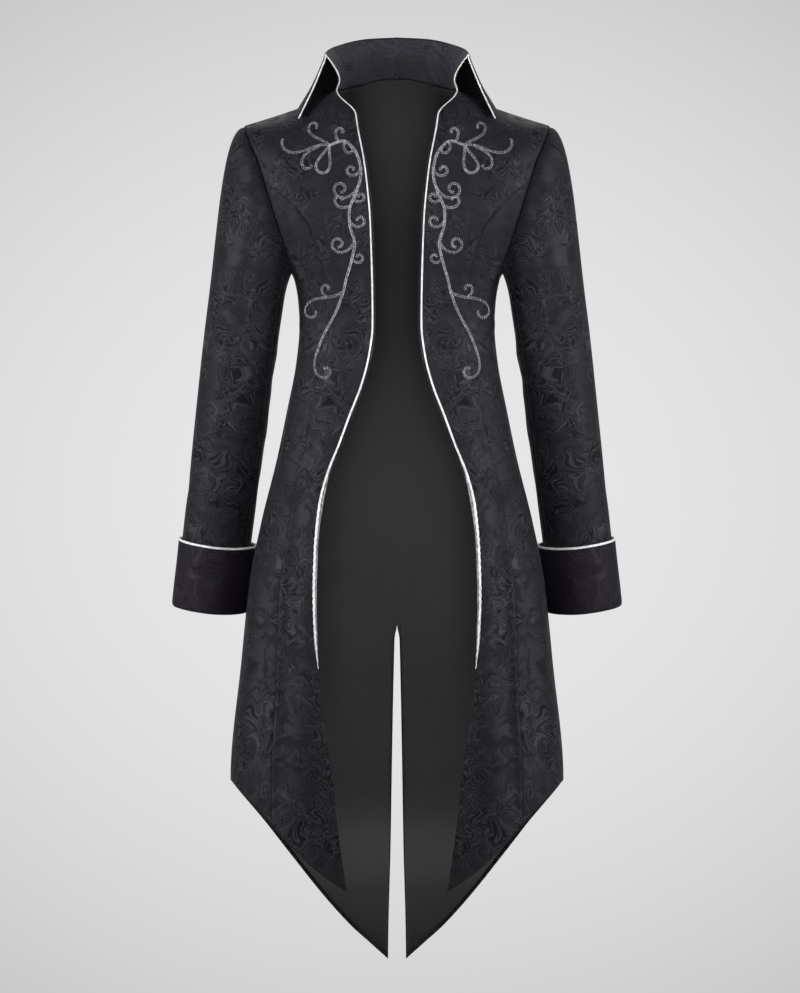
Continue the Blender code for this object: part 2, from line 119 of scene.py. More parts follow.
# The paper glows, with a painted pool of light: its brightness in the middle, how fast it falls to the sides
# and the ends, and the least it has.
PAPER_BRIGHT, PAPER_SIDES, PAPER_ENDS, PAPER_LEAST = 0.80, 0.215, 0.30, 0.4
FLOOR_GREY, FLOOR_ROUGHNESS = (0.5, 0.5, 0.5, 1.0), 0.9
STUDIO_GREY = (0.2, 0.2, 0.2, 1.0)

backdrop_paper, tree = new_material("backdrop_paper")
place = node(tree, "ShaderNodeSeparateXYZ", node(tree, "ShaderNodeTexCoord").outputs["Object"])
across = maths(tree, "MULTIPLY", place.outputs["X"], place.outputs["X"])
height = maths(tree, "SUBTRACT", place.outputs["Z"], PICTURE_CENTRE.z)
up = maths(tree, "MULTIPLY", height, height)
fall = maths(tree, "MULTIPLY_ADD", across, PAPER_SIDES, maths(tree, "MULTIPLY", up, PAPER_ENDS))
bright = maths(tree, "MAXIMUM", maths(tree, "SUBTRACT", PAPER_BRIGHT, fall), PAPER_LEAST)
# The paper's glow is painted light: it shines though it is no lamp.
paper = node(tree, "ShaderNodeEmission", None, bright)
behind = node(tree, "ShaderNodeNewGeometry").outputs["Backfacing"]    # the paper is clear from behind
clear = node(tree, "ShaderNodeBsdfTransparent")
one_sided = node(tree, "ShaderNodeMixShader", behind, paper.outputs[0], clear.outputs[0])
node(tree, "ShaderNodeOutputMaterial", one_sided.outputs[0])

floor_paper, tree = new_material("floor_paper")
floor_shader = node(tree, "ShaderNodeBsdfPrincipled", FLOOR_GREY, 0.0, FLOOR_ROUGHNESS)
node(tree, "ShaderNodeOutputMaterial", floor_shader.outputs[0])


def stage_sheet(name, reach, turn, shift, material):
    """A square of the studio's floor or backdrop, which isn't part of the coat."""
    sheet = bmesh.new()
    bmesh.ops.create_grid(sheet, x_segments=1, y_segments=1, size=reach)
    bmesh.ops.transform(sheet, matrix=Matrix.Translation(shift) @ turn, verts=sheet.verts)
    mesh = bpy.data.meshes.new(name)
    sheet.to_mesh(mesh)
    sheet.free()
    mesh.materials.append(material)
    placed(name, mesh)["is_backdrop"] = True


upright = Matrix.Rotation(pi / 2, 4, "X")
backdrop_middle = (0, BACKDROP_PLACE, FLOOR_LEVEL + BACKDROP_REACH)
stage_sheet("floor", FLOOR_REACH, Matrix.Identity(4), (0, 0, FLOOR_LEVEL), floor_paper)
stage_sheet("backdrop", BACKDROP_REACH, upright, backdrop_middle, backdrop_paper)

world = bpy.data.worlds.new("studio")
world.use_nodes = True
world.node_tree.nodes["Background"].inputs["Color"].default_value = STUDIO_GREY
world.node_tree.nodes["Background"].inputs["Strength"].default_value = 1.0
bpy.context.scene.world = world

# Softboxes: place, the height each is turned to, size, power and how wide the grid in front lets it spread.
# The low strip in front leaves the shoulders and the tails darker, and a small spot reaches into the collar.
LIGHTS = {
    "front_strip": ((0.0, -2.4, -0.36), -0.32, (1.2, 0.35), 2.35, 26),
    "collar_spot": ((0.0, -2.4, 0.1), 0.05, (0.3, 0.15), 0.12, 12),
    "left_box": ((3.0, -1.15, 0.1), -0.3, (1.2, 1.8), 66, 120),
    "right_box": ((-3.0, -1.15, 0.1), -0.3, (1.2, 1.8), 66, 120),
    "back_left_box": ((1.1, 2.7, 2.3), -0.3, (1.4, 2.0), 32, 150),
    "back_right_box": ((-1.1, 2.7, 2.3), -0.3, (1.4, 2.0), 32, 150),
}
for name, (place, aim, size, power, spread) in LIGHTS.items():
    lamp = bpy.data.lights.new(name, "AREA")
    lamp.shape = "RECTANGLE"
    lamp.size, lamp.size_y = size
    lamp.energy = power
    lamp.spread = radians(spread)
    box = placed(name, lamp)
    box.location = place
    box.visible_camera = False
    box.rotation_euler = (Vector((0, 0, aim)) - Vector(place)).to_track_quat("-Z", "Y").to_euler()


# ---- Fronts -----------------------------------------------------------------------------------------------
# Each front is one piece of black jacquard from the shoulder to the cutaway point, cut to the bust seam that
# leaves the armhole. Its inside is lined, and its edge is bagged out over the piping.
SIDES = ((1, "left"), (-1, "right"))      # the wearer's own, and the right is the mirror image of the left


class Table:
    """Named columns, one row for each section, read with a smooth curve through the rows."""

    def __init__(self, columns, rows):
        rows = sorted(rows)
        self.rows = rows
        self.places = [row[0] for row in rows]
        gaps = [b - a for a, b in zip(self.places, self.places[1:])]
        self.columns = {}
        for k, name in enumerate(columns.split()):
            values = [row[k] for row in rows]
            rises = [(b - a) / gap for a, b, gap in zip(values, values[1:], gaps)]
            slopes = [rises[0]]
            for gap, next_gap, rise, next_rise in zip(gaps, gaps[1:], rises, rises[1:]):
                level = rise * next_rise <= 0
                slopes.append(0.0 if level else (gap + next_gap) / (gap / rise + next_gap / next_rise))
            self.columns[name] = values, slopes + [rises[-1]]

    def at(self, place, name):
        values, slopes = self.columns[name]
        if place <= self.places[0]:
            return values[0]
        if place >= self.places[-1]:
            return values[-1]
        k = bisect_right(self.places, place) - 1
        gap = self.places[k + 1] - self.places[k]
        t = (place - self.places[k]) / gap
        return (
            values[k] * (1 + 2 * t) * (1 - t) ** 2
            + slopes[k] * gap * t * (1 - t) ** 2
            + values[k + 1] * t * t * (3 - 2 * t)
            - slopes[k + 1] * gap * t * t * (1 - t)
        )


# Levels: heights. Above the chest a level is stretched, so that level 0 follows the shoulder line.
CHEST, UNDERARM, VENT_TOP = -140.0, -226.0, -680.0
BUST_SEAM_TOP = -101.0
ROUNDING = 2.2            # how the cloth rounds over the shoulder, 2 is a circle
SECTION_POWER = 2.3       # how full the horizontal sections are, 2 is an ellipse
FORWARD_POWER = 4         # how near the shoulder line the cloth comes forward
WALL = 2.0                # jacquard with its interlining
NECK_HALF_WIDTH, NECK_POINT = 78.4, 9.0   # where the neck, the shoulder seam and the front edge meet

# At each level, half the coat's width, and how far back its front, its widest place and its back lie.
BODY = Table("level half_width front widest back", [
    (0, 214, -108, 0, 98), (-50, 207, -109, 0, 99), (-102, 197, -112, 0, 100), (-146, 183, -113, 0, 99),
    (-180, 167, -110, 0, 96), (-218, 141, -101, 0, 91), (-234, 131.5, -97, 0, 88), (-262, 126.5, -91, 0, 84),
    (-292, 124.8, -87, 0, 81), (-340, 129, -91, -1, 84), (-400, 140.5, -100, -4, 96),
    (-465, 154, -109, -9, 113), (-541, 173, -119, -15, 130), (-620, 188.5, -127, -19, 143),
    (-720, 199, -136, -21, 154), (-873, 213, -147, -22, 168), (-1110, 213, -158, -22, 184),
])
# The shoulder line: its height as front and back reach it, and how far it comes forward.
RIDGE = Table("x front back forward", [
    (0, 30, 97, 0), (24, 28, 80, 0), (50, 22, 55, -3), (70, 14, 21, -12),
    (NECK_HALF_WIDTH, NECK_POINT, NECK_POINT, -16), (100, -2, -2, -10), (125, -14, -14, -4),
    (160, -26, -26, 0), (196, -37, -37, 0), (230, -47, -47, 0),
])
FRONT_EDGE = Table("height x", [
    (NECK_POINT, NECK_HALF_WIDTH), (1, 74), (-6, 67), (-14, 58), (-22, 53), (-42, 50), (-81, 42.5),
    (-119, 37.8), (-157, 34.6), (-234, 32), (-292, 31.4), (-330, 35.8), (-369, 45.8), (-407, 60.5),
    (-445, 74.5), (-484, 90.2), (-522, 99.5), (-580, 105), (-640, 106.5), (-695, 104.6), (-731, 101),
    (-780, 96.6), (-855, 84.5), (-934, 75.5), (-1015, 64),
])
COLLAR_PIPING, PIPING_END = 1.0, -731.0   # its radius on the collar, and the height where it has tapered out
PIPING_RADIUS = Table("height radius", [
    (NECK_POINT, COLLAR_PIPING), (-180, 1.0), (-240, 1.2), (-460, 1.3), (-530, 1.6), (-640, 1.5), (-690, 1.5),
    (PIPING_END, 0.7),
])
ARMHOLE_FRONT = Table("height x", [
    (-37, 196), (-51, 192), (-83, 179), (-113, 170), (-146, 160), (-180, 148.5), (-218, 137),
])
BUST_SEAM = Table("height x", [
    (-110, 171), (-124, 151.6), (-137, 137), (-149.5, 124.6), (-170, 111), (-200, 99), (-240, 90),
    (-292, 86), (-340, 91), (-400, 106), (-500, 130), (-600, 147), (-700, 153), (-800, 157), (-950, 160),
])
FRONT_HEM = Table("x height", [(64, -1015), (98.6, -992), (137, -957), (163, -928), (190, -899), (213, -873)])


ENOUGH_ROUNDS = 30        # a search for a point has settled after as many


def body_point(turn, level):
    """A point on the coat's outer face: turn is 0 at the centre front, pi/2 at the side, pi at the back."""
    behind = turn > pi / 2
    half_width = BODY.at(level, "half_width")
    widest = BODY.at(level, "widest")
    depth = BODY.at(level, "back" if behind else "front") - widest
    x = half_width * max(sin(turn), 0.0) ** (2 / SECTION_POWER)
    y = widest + depth * abs(cos(turn)) ** (2 / SECTION_POWER)
    if level <= CHEST:
        return Vector((x, y, level))
    rise = min(1 - level / CHEST, 1.0)
    ridge = RIDGE.at(x, "back" if behind else "front")
    y = y * (1 - rise ** ROUNDING) ** (1 / ROUNDING) + RIDGE.at(x, "forward") * rise ** FORWARD_POWER
    return Vector((x, y, CHEST + rise * (ridge - CHEST)))


def moved_in(turn, level, distance):
    """The point of the outer face, moved square to it towards the inside."""
    step = 0.01
    turn = min(turn, pi - step)
    along = body_point(turn + step, level) - body_point(turn - step, level)
    down = body_point(turn, level - 1) - body_point(turn, level + 1)
    return body_point(turn, level) + along.cross(down).normalized() * distance


def place_on_body(x, height, behind=False):
    """The turn and level of the point seen at x and height from the front."""
    level = height
    if height > CHEST:
        ridge = RIDGE.at(x, "back" if behind else "front")
        level = CHEST * max(1 - (height - CHEST) / (ridge - CHEST), 0.0)
    share = min(x / BODY.at(level, "half_width"), 1.0)
    turn = asin(share ** (SECTION_POWER / 2))
    return (pi - turn if behind else turn), level


def line_on_body(rows, behind=False, end=()):
    """Rows of heights and x as a table of levels and turns."""
    turned = []
    for height, x in rows:
        turn, level = place_on_body(x, height, behind)
        turned.append((level, turn))
    return Table("level turn", turned + list(end))


def front_edge_x(height):
    """The cloth stops beside the piping, down to the piping's end."""
    x = FRONT_EDGE.at(height, "x")
    if height > PIPING_END:
        above = body_point(*place_on_body(x, height))
        below = body_point(*place_on_body(FRONT_EDGE.at(height - 1, "x"), height - 1))
        along = (above - below).normalized()
        x += PIPING_RADIUS.at(height, "radius") / (1 - along.x ** 2) ** 0.5
    return x


SIDE = ((UNDERARM, pi / 2),)
front_edge = line_on_body([(height, front_edge_x(height)) for height, x in FRONT_EDGE.rows])
armhole_front = line_on_body(ARMHOLE_FRONT.rows, end=SIDE)
bust_seam = line_on_body(BUST_SEAM.rows)


def front_line(level):
    return front_edge.at(level, "turn")


def bust_line(level):
    if level > BUST_SEAM_TOP:
        return armhole_front.at(level, "turn")
    return bust_seam.at(level, "turn")


def turn_between(inner, outer, share, level):
    return inner(level) * (1 - share) + outer(level) * share


@cache
def hem_level(hem, inner, outer, share):
    """The level where a line down the panel meets the hem."""
    level = hem.rows[0][1]
    for _ in range(ENOUGH_ROUNDS):
        x = body_point(turn_between(inner, outer, share, level), level).x
        level = hem.at(x, "height")
    return level


ROLLED_SHARE = 0.18       # how much of a panel's length rolls over the shoulder, above the chest


def level_down(down, top, hem):
    """The rows lie closer together where the cloth rolls over the shoulder."""
    if down < ROLLED_SHARE:
        roll = asin(1 - top / CHEST) * (1 - down / ROLLED_SHARE)
        return CHEST * (1 - sin(roll))
    return CHEST + (hem - CHEST) * (down - ROLLED_SHARE) / (1 - ROLLED_SHARE)


def front_place(across, down):
    level = level_down(down, 0.0, hem_level(FRONT_HEM, front_line, bust_line, across))
    return body_point(turn_between(front_line, bust_line, across, level), level)


# Creases, each a soft line on the cloth: its two ends and how far its middle bows sideways, its half width,
# and how high it stands, or how deep it lies where that is below 0. Places are in mm on the cloth, from the
# middle of the coat outwards and by height.
FRONT_CREASES = [
    (62, -205, 132, -262, 8, 13, -1.6), (70, -232, 128, -292, 6, 10, 1.2),
    (58, -262, 118, -322, -6, 12, -1.3), (44, -300, 112, -352, 8, 12, 1.0),
    (52, -345, 96, -470, 10, 14, -1.4), (84, -360, 124, -560, 8, 16, 1.6),
    (118, -430, 142, -700, -6, 17, -1.8), (124, -620, 122, -900, 8, 22, 2.2),
    (150, -560, 165, -930, 6, 20, -2.2), (108, -760, 92, -985, -6, 18, -1.6),
    (96, -90, 150, -128, -8, 14, -1.2), (110, -40, 168, -96, 6, 12, 0.9),
    (56, -120, 74, -210, 6, 16, 0.8), (120, -140, 132, -235, 8, 14, 1.4),
]
CREASE_SPREAD = 3.0       # a crease is felt as far as this, in its half widths
CREASE_ENDS = 0.8         # how blunt its ends are
UNEVENNESS = 0.3          # how much the creases of the two sides differ in height


def crease_height(creases, u, v, side):
    """How far all the creases together lift the cloth at one place."""
    total = 0.0
    for number, (u0, v0, u1, v1, bow, width, height) in enumerate(creases):
        along_u, along_v = u1 - u0, v1 - v0
        length = (along_u ** 2 + along_v ** 2) ** 0.5
        t = ((u - u0) * along_u + (v - v0) * along_v) / length ** 2
        if not 0 < t < 1:
            continue
        swell = sin(pi * t)
        off = ((u - u0) * along_v - (v - v0) * along_u) / length - bow * swell
        if abs(off) < CREASE_SPREAD * width:
            unevenness = 1 + UNEVENNESS * side * cos(7 * number)
            total += height * unevenness * swell ** CREASE_ENDS * exp(-(off / width) ** 2)
    return total


SEAM_DIP, SEAM_REACH = 2.4, 1.9   # how deep the cloth turns in at a seam, and how wide the groove is
FLAT_SEAM, DEEP_SEAM = -185.0, -145.0    # a long seam is pressed flat below the chest
PRESSED, SHOULDER_SEAM, ARM_SEAM = 0.1, 0.4, 0.5    # shares of that depth: pressed flat, shoulder, sleeve
ARM_SEAM_START = 15.0             # a sleeve's seams are flat where they meet the armhole
NO_SEAM = 100.0                   # so far away that no seam is felt
CREASE_REACH = 8.0                # how near a seam the creases fade out
EDGE_EASE = 0.72                  # how much closer the columns lie at a piece's edges
SAME_PLACE = 0.00002              # metres, for points where both halves of a piece meet


def laid_flat(station, columns, rows, start, eased):
    """Where each point of a piece lies on the flat cloth: outwards from its first edge, and by height."""
    flat = {}
    for i in range(columns + 1):
        v = station[i, rows].co.z
        for j in range(rows, -1, -1):
            if j < rows:
                v += (station[i, j].co - station[i, j + 1].co).length
            flat[i, j] = [0.0, v]
    for j in range(rows, -1, -1):
        if j < round(eased * rows):
            for i in range(columns + 1):
                flat[i, j][0] = flat[i, j + 1][0]
            continue
        u = start(station[0, j].co) if start else station[0, j].co.x
        flat[0, j][0] = u
        for i in range(1, columns + 1):
            step = (station[i, j].co - station[i - 1, j].co).length
            u += max(step ** 2 - (flat[i, j][1] - flat[i - 1, j][1]) ** 2, 0.0) ** 0.5
            flat[i, j][0] = u
    return flat


def seam_near(seams, left, right, top, v):
    """How far away the nearest seam is, and how deep its groove is here. A piece's seams are letters: l and r
    are the long seams at its left and right edge and t its shoulder seam, L and R are the seams of a sleeve,
    and T is the foot of the armhole."""
    long_seam = PRESSED + (1 - PRESSED) * max(0.0, min((v - FLAT_SEAM) / (DEEP_SEAM - FLAT_SEAM), 1.0))
    arm_seam = ARM_SEAM * min(top / ARM_SEAM_START, 1.0)
    edges = {"l": (left, long_seam), "r": (right, long_seam), "t": (top, SHOULDER_SEAM),
             "L": (left, arm_seam), "R": (right, arm_seam), "T": (top, 1.0)}
    nearest, groove = NO_SEAM, 0.0
    for letter in seams:
        away, depth = edges[letter]
        nearest = min(nearest, away)
        groove = max(groove, depth * exp(-(away / SEAM_REACH) ** 2))
    return nearest, groove


def cloth(name, columns, rows, place, finishes, sides, creases=(), seams="", wall=WALL, turned=False,
          start=None, ease=EDGE_EASE, dip=SEAM_DIP, eased=0.0, folded=1.0):
    """A sheet of cloth: a flat grid moved to its place, creased, and turned in a little at its seams. The
    creases fade out at the seams. Start says where its first edge lies on the flat cloth, and ease how much
    closer its columns lie at both edges. Eased is the share of its length that is gathered in, at the top,
    and folded the share where it folds back. Finishes are its outside and inside, then both past the fold.
    Seams are the letters of seam_near."""
    sheet = bmesh.new()
    layer = sheet.loops.layers.uv.new("cloth")
    for side in sides:
        grid = bmesh.ops.create_grid(sheet, x_segments=columns, y_segments=rows, size=0.5)["verts"]
        station = {}
        for vert in grid:
            across, down = vert.co.x + 0.5, 0.5 - vert.co.y
            station[round(across * columns), round(down * rows)] = vert
            across -= ease * sin(2 * pi * across) / (2 * pi)
            vert.co = place(across, down)
        flat = laid_flat(station, columns, rows, start, eased)
        faces = {face for vert in grid for face in vert.link_faces}
        for (i, j), vert in station.items():
            for face in vert.link_faces if i and folded * rows < j < rows else ():
                face.material_index = 2
        at = {vert: flat[key] for key, vert in station.items()}
        for face in faces:
            for loop in face.loops:
                loop[layer].uv = (at[loop.vert][0] * MM, at[loop.vert][1] * MM)
        if turned:
            bmesh.ops.reverse_faces(sheet, faces=list(faces))
        for face in faces:
            face.normal_update()
        for vert in grid:
            vert.normal_update()
        shifts = []
        for (i, j), vert in station.items():
            u, v = flat[i, j]
            left, right, top = u - flat[0, j][0], flat[columns, j][0] - u, flat[i, 0][1] - v
            nearest, groove = seam_near(seams, left, right, top, v)
            held = 1 - exp(-(nearest / CREASE_REACH) ** 2)
            shift = crease_height(creases, u, v, side) * held - dip * groove
            shifts.append((vert, vert.normal * shift))
        for vert, shift in shifts:
            vert.co += shift
        bmesh.ops.scale(sheet, vec=(side * MM, MM, MM), verts=grid)
        if side < 0:
            bmesh.ops.reverse_faces(sheet, faces=list(faces))
    bmesh.ops.remove_doubles(sheet, verts=sheet.verts, dist=SAME_PLACE)
    mesh = bpy.data.meshes.new(name)
    sheet.to_mesh(mesh)
    sheet.free()
    mesh.shade_smooth()
    for finish in finishes:
        mesh.materials.append(finish)
    piece = placed(name, mesh)
    thickness = piece.modifiers.new("cloth thickness", "SOLIDIFY")
    thickness.thickness = wall * MM
    thickness.offset = -1.0
    thickness.use_even_offset = False
    thickness.material_offset = min(len(finishes) - 1, 1)
    return piece


def ramp(tree, value, low, high, start=0.0, end=1.0):
    """It passes smoothly from start to end as the value passes from low to high."""
    made = node(tree, "ShaderNodeMapRange", value, low, high, start, end, interpolation_type="SMOOTHSTEP")
    return made.outputs[0]


def mixed(tree, share, first, second):
    """A mix of two colours, with this share of the second."""
    made = node(tree, "ShaderNodeMix", data_type="RGBA")
    for name, value in (("Factor_Float", share), ("A_Color", first), ("B_Color", second)):
        socket = next(s for s in made.inputs if s.identifier == name)
        if isinstance(value, bpy.types.NodeSocket):
            tree.links.new(value, socket)
        else:
            socket.default_value = value
    return next(s for s in made.outputs if s.identifier == "Result_Color")


def noise(tree, place, scale, detail, dimensions="3D", distortion=0.0):
    """Noise on a cloth's flat map where its dimensions are 2D, and else through space."""
    return node(tree, "ShaderNodeTexNoise", place, noise_dimensions=dimensions,
                named={"Scale": scale, "Detail": detail, "Distortion": distortion})


def flat_map(tree):
    """Where a point lies on the flat cloth, in metres."""
    return node(tree, "ShaderNodeUVMap", uv_map="cloth").outputs[0]


def surface(tree, colour, gloss, relief=None, bump=()):
    """The surface of a cloth or a thread. Gloss names the shader's sockets, and bump is how strong the fine
    relief of the threads is, and how high in metres."""
    shader = node(tree, "ShaderNodeBsdfPrincipled", colour, named=gloss)
    if relief is not None:
        raised = node(tree, "ShaderNodeBump", *bump, named={"Height": relief})
        tree.links.new(raised.outputs[0], shader.inputs["Normal"])
    node(tree, "ShaderNodeOutputMaterial", shader.outputs[0])


# The figure is worked out in cells of one motif each, bent by a slow noise so that no two are alike.
BEND_SCALE, BEND_DETAIL, BEND = 1.1, 1.0, 0.9
CELL_UNEVENNESS, CELL_BLUR = 0.9, 0.25
CURL_REACH, TWIST = 0.62, 16.0            # how wide a curl is, and how far it winds, in radians
FLOW_SCALE, FLOW_DETAIL, FLOW_SWIRL = 1.7, 2.5, 0.5
STRANDS = 50.0                            # how closely its strands lie


def damask(tree, motif):
    """The figure of a jacquard on the cloth's own map: strands that flow round each other, and are wound up
    into a curl in the middle of every cell. It gives the strands, the flow they follow and the bent map."""
    scaled = node(tree, "ShaderNodeVectorMath", flat_map(tree), operation="SCALE", named={"Scale": 1 / motif})
    bend = noise(tree, scaled.outputs[0], BEND_SCALE, BEND_DETAIL, "2D")
    centred = node(tree, "ShaderNodeVectorMath", bend.outputs["Color"], (0.5, 0.5, 0.5), operation="SUBTRACT")
    field = node(tree, "ShaderNodeVectorMath", centred.outputs[0], (BEND, BEND, 0), scaled.outputs[0],
                 operation="MULTIPLY_ADD").outputs[0]
    cells = node(tree, "ShaderNodeTexVoronoi", field, voronoi_dimensions="2D", feature="SMOOTH_F1",
                 named={"Scale": 1.0, "Randomness": CELL_UNEVENNESS, "Smoothness": CELL_BLUR})
    chance = node(tree, "ShaderNodeSeparateColor", cells.outputs["Color"]).outputs[0]
    winding = ramp(tree, cells.outputs["Distance"], CURL_REACH, 0.0, 0.0, TWIST)
    turning = maths(tree, "MULTIPLY", winding, maths(tree, "SUBTRACT", chance, 0.5))
    curled = node(tree, "ShaderNodeVectorRotate", field, cells.outputs["Position"], None, turning,
                  rotation_type="Z_AXIS")
    flow = noise(tree, curled.outputs[0], FLOW_SCALE, FLOW_DETAIL, "2D", FLOW_SWIRL).outputs[0]
    strands = maths(tree, "SINE", maths(tree, "MULTIPLY", flow, STRANDS))
    return strands, flow, field


DARK_THREAD = (0.0008, 0.0007, 0.0014, 1)
FIGURE_EDGE = (0.44, 0.56)                # where the flow turns from the ground to the figure
PATCH_SCALE, PATCH_DETAIL = 0.6, 2.0      # the figure is strong in patches, and faint between them
PATCH_EDGE, FAINT = (0.4, 0.56), 0.2
DARK_STRANDS, LIGHT_STRANDS = (0.0, 0.85), (-0.45, -1.0)    # where in each wave a strand is drawn
IN_PATCHES, IN_FIGURE = 0.3, 0.4          # how far the figure's colour shows in both
DARK_SHARE, LIGHT_SHARE = 0.85, 0.6       # how far the strands' own colours show
TWILL_SLANT, TWILL_THREADS = radians(60), (300, 2200, 1)    # long fine threads, so many to a metre
FIGURE_RELIEF, TWILL_RELIEF, JACQUARD_BUMP = 0.6, 0.5, (0.5, 0.0003)
MATT, SATIN = 0.7, 0.52                   # roughness of the ground and of the figure
JACQUARD_GLOSS = {"Specular IOR Level": 0.07, "Sheen Weight": 0.01, "Sheen Roughness": 0.4}


def jacquard(name, ground, figure, outline, motif, contrast=1.0):
    """Black jacquard: a satin figure on a matt ground, of nearly one colour, with a fine twill."""
    material, tree = new_material(name)
    strands, flow, field = damask(tree, motif)
    leaf = ramp(tree, flow, *FIGURE_EDGE)
    patches = noise(tree, field, PATCH_SCALE, PATCH_DETAIL, "2D").outputs[0]
    strength = ramp(tree, patches, *PATCH_EDGE, FAINT * contrast, contrast)
    dark = maths(tree, "MULTIPLY", ramp(tree, strands, *DARK_STRANDS), strength)
    light = maths(tree, "MULTIPLY", ramp(tree, strands, *LIGHT_STRANDS), strength)
    shown = maths(tree, "MULTIPLY_ADD", strength, IN_PATCHES, maths(tree, "MULTIPLY", leaf, IN_FIGURE))
    colour = mixed(tree, shown, ground, figure)
    colour = mixed(tree, maths(tree, "MULTIPLY", light, LIGHT_SHARE), colour, outline)
    colour = mixed(tree, maths(tree, "MULTIPLY", dark, DARK_SHARE), colour, DARK_THREAD)
    slanted = node(tree, "ShaderNodeMapping", flat_map(tree),
                   named={"Rotation": (0, 0, TWILL_SLANT), "Scale": TWILL_THREADS})
    twill = noise(tree, slanted.outputs[0], 1.0, 1.0, "2D").outputs[0]
    relief = maths(tree, "MULTIPLY_ADD", leaf, FIGURE_RELIEF, maths(tree, "MULTIPLY", twill, TWILL_RELIEF))
    roughness = ramp(tree, leaf, 0.0, 1.0, MATT, SATIN)
    surface(tree, colour, {**JACQUARD_GLOSS, "Roughness": roughness}, relief, JACQUARD_BUMP)
    return material


# Plain cloth: how large its clouds are and how much they darken it, and how fine its weave is.
CLOUD_SCALE, CLOUD_DETAIL, CLOUD_EDGE, CLOUD_SHARE = 7.0, 4.0, (0.3, 0.8), 0.15
WEAVE_SCALE, WEAVE_DETAIL, WEAVE_BUMP = 900.0, 1.0, (0.25, 0.0002)
PLAIN_GLOSS = {"Roughness": 0.7, "Specular IOR Level": 0.1}


def plain_cloth(name, painted_light_by_height):
    """Plain cloth: a fine even weave, a little cloudy. Its colour changes with height, as painted light and
    shade:
    heights in metres, each with its colour.
    """
    material, tree = new_material(name)
    place = node(tree, "ShaderNodeTexCoord").outputs["Object"]
    cloud = noise(tree, place, CLOUD_SCALE, CLOUD_DETAIL).outputs[0]
    weave = noise(tree, place, WEAVE_SCALE, WEAVE_DETAIL).outputs[0]
    low, high = painted_light_by_height[0][0], painted_light_by_height[-1][0]
    # The colour by height is painted light and shade.
    height = node(tree, "ShaderNodeSeparateXYZ", place).outputs["Z"]
    tone = node(tree, "ShaderNodeValToRGB", node(tree, "ShaderNodeMapRange", height, low, high).outputs[0])
    stops = tone.color_ramp.elements
    stops.remove(stops[1])
    for level, colour in painted_light_by_height:
        stop = stops[0] if level == low else stops.new((level - low) / (high - low))
        stop.color = colour
    cloudy = mixed(tree, ramp(tree, cloud, *CLOUD_EDGE, 0.0, CLOUD_SHARE), tone.outputs[0], DARK_THREAD)
    surface(tree, cloudy, PLAIN_GLOSS, weave, WEAVE_BUMP)
    return material


black_jacquard = jacquard("black_jacquard", (0.0071, 0.0065, 0.0084, 1), (0.0121, 0.0113, 0.0142, 1),
                          (0.029, 0.0274, 0.033, 1), motif=0.034)
# The lining's colour by height is painted light and shade: palest low on the tails, darker at the waist and
# darkest at the tails' tips.
charcoal_lining = plain_cloth("charcoal_lining", [
    (-1.08, (0.011, 0.011, 0.0109, 1)), (-1.02, (0.022, 0.0219, 0.0217, 1)),
    (-0.94, (0.068, 0.0678, 0.0674, 1)), (-0.8, (0.058, 0.0578, 0.0574, 1)),
    (-0.52, (0.034, 0.0339, 0.0334, 1)), (-0.3, (0.0135, 0.01345, 0.0131, 1)),
    (-0.2, (0.0155, 0.01545, 0.015, 1)), (-0.05, (0.0235, 0.0234, 0.023, 1)),
    (0.03, (0.0235, 0.0234, 0.023, 1)),
])


def sewn_on(piece, slot, *nodes):
    """The coat is one body, and each piece stands for the solids that are named."""
    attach(piece, "root")
    if nodes:
        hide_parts(*nodes)


def finished(piece, slot, nodes):
    """Every sheet of the coat hangs from what it is sewn to."""
    sewn_on(piece, slot, *nodes)


fronts = {}
for side, hand in SIDES:
    piece = cloth(f"front_{hand}_cloth", 34, 190, front_place, (black_jacquard, charcoal_lining), (side,),
                  FRONT_CREASES, "rt")
    finished(piece, "brocade", [f"front_{hand}"])
    fronts[side] = [piece]

# ---- Facings ----------------------------------------------------------------------------------------------
# A strip of the jacquard is sewn in behind each front's edge, where it backs the seam of the piping and shows
# as a dark line inside it. Below: how wide it is, how much shows, how deep it lies and how thick it is.
FACING_WIDTH, FACING_SHOWS, FACING_DEPTH, FACING_WALL = 16.0, 2.8, 3.6, 0.8
FACING_TOP, FACING_END = 2.0, -724.0


def facing_place(across, down):
    height = FACING_TOP + (FACING_END - FACING_TOP) * down
    first = FRONT_EDGE.at(height, "x") - PIPING_RADIUS.at(height, "radius") - FACING_SHOWS
    return moved_in(*place_on_body(first + FACING_WIDTH * across, height), FACING_DEPTH)


for side, hand in SIDES:
    piece = cloth(f"facing_{hand}_cloth", 6, 150, facing_place, (black_jacquard,), (side,), wall=FACING_WALL,
                  ease=0.0)
    finished(piece, "brocade", [])

# ---- Side fronts ------------------------------------------------------------------------------------------
# The jacquard panel under the arm, lined like the front and sewn in from the bust seam to the side seam. It
# shapes the waist and flares to the hem.
ROUND_THE_SIDE = 1.12     # the cloth's own map runs on round the body from the front
SIDE_CREASES = [
    (150, -250, 205, -262, 3, 8, -1.3), (146, -272, 214, -292, -4, 8, 1.2),
    (140, -296, 210, -318, 4, 9, -1.2), (150, -330, 180, -520, 8, 14, 1.4),
    (176, -380, 205, -640, -8, 18, -2.0), (150, -540, 178, -880, 8, 20, 2.0),
    (205, -560, 232, -860, 6, 20, 2.4), (190, -700, 205, -900, -6, 18, -2.0),
]


def side_line(level):
    return pi / 2


@cache
def armhole_level(share):
    """The level where a line down the side front starts, on the armhole."""
    high, low = BUST_SEAM_TOP, UNDERARM
    for _ in range(ENOUGH_ROUNDS):
        middle = (high + low) / 2
        if turn_between(bust_line, side_line, share, middle) > armhole_front.at(middle, "turn"):
            high = middle
        else:
            low = middle
    return high


def side_front_place(across, down):
    top = armhole_level(across)
    level = top + (hem_level(FRONT_HEM, bust_line, side_line, across) - top) * down
    return body_point(turn_between(bust_line, side_line, across, level), level)


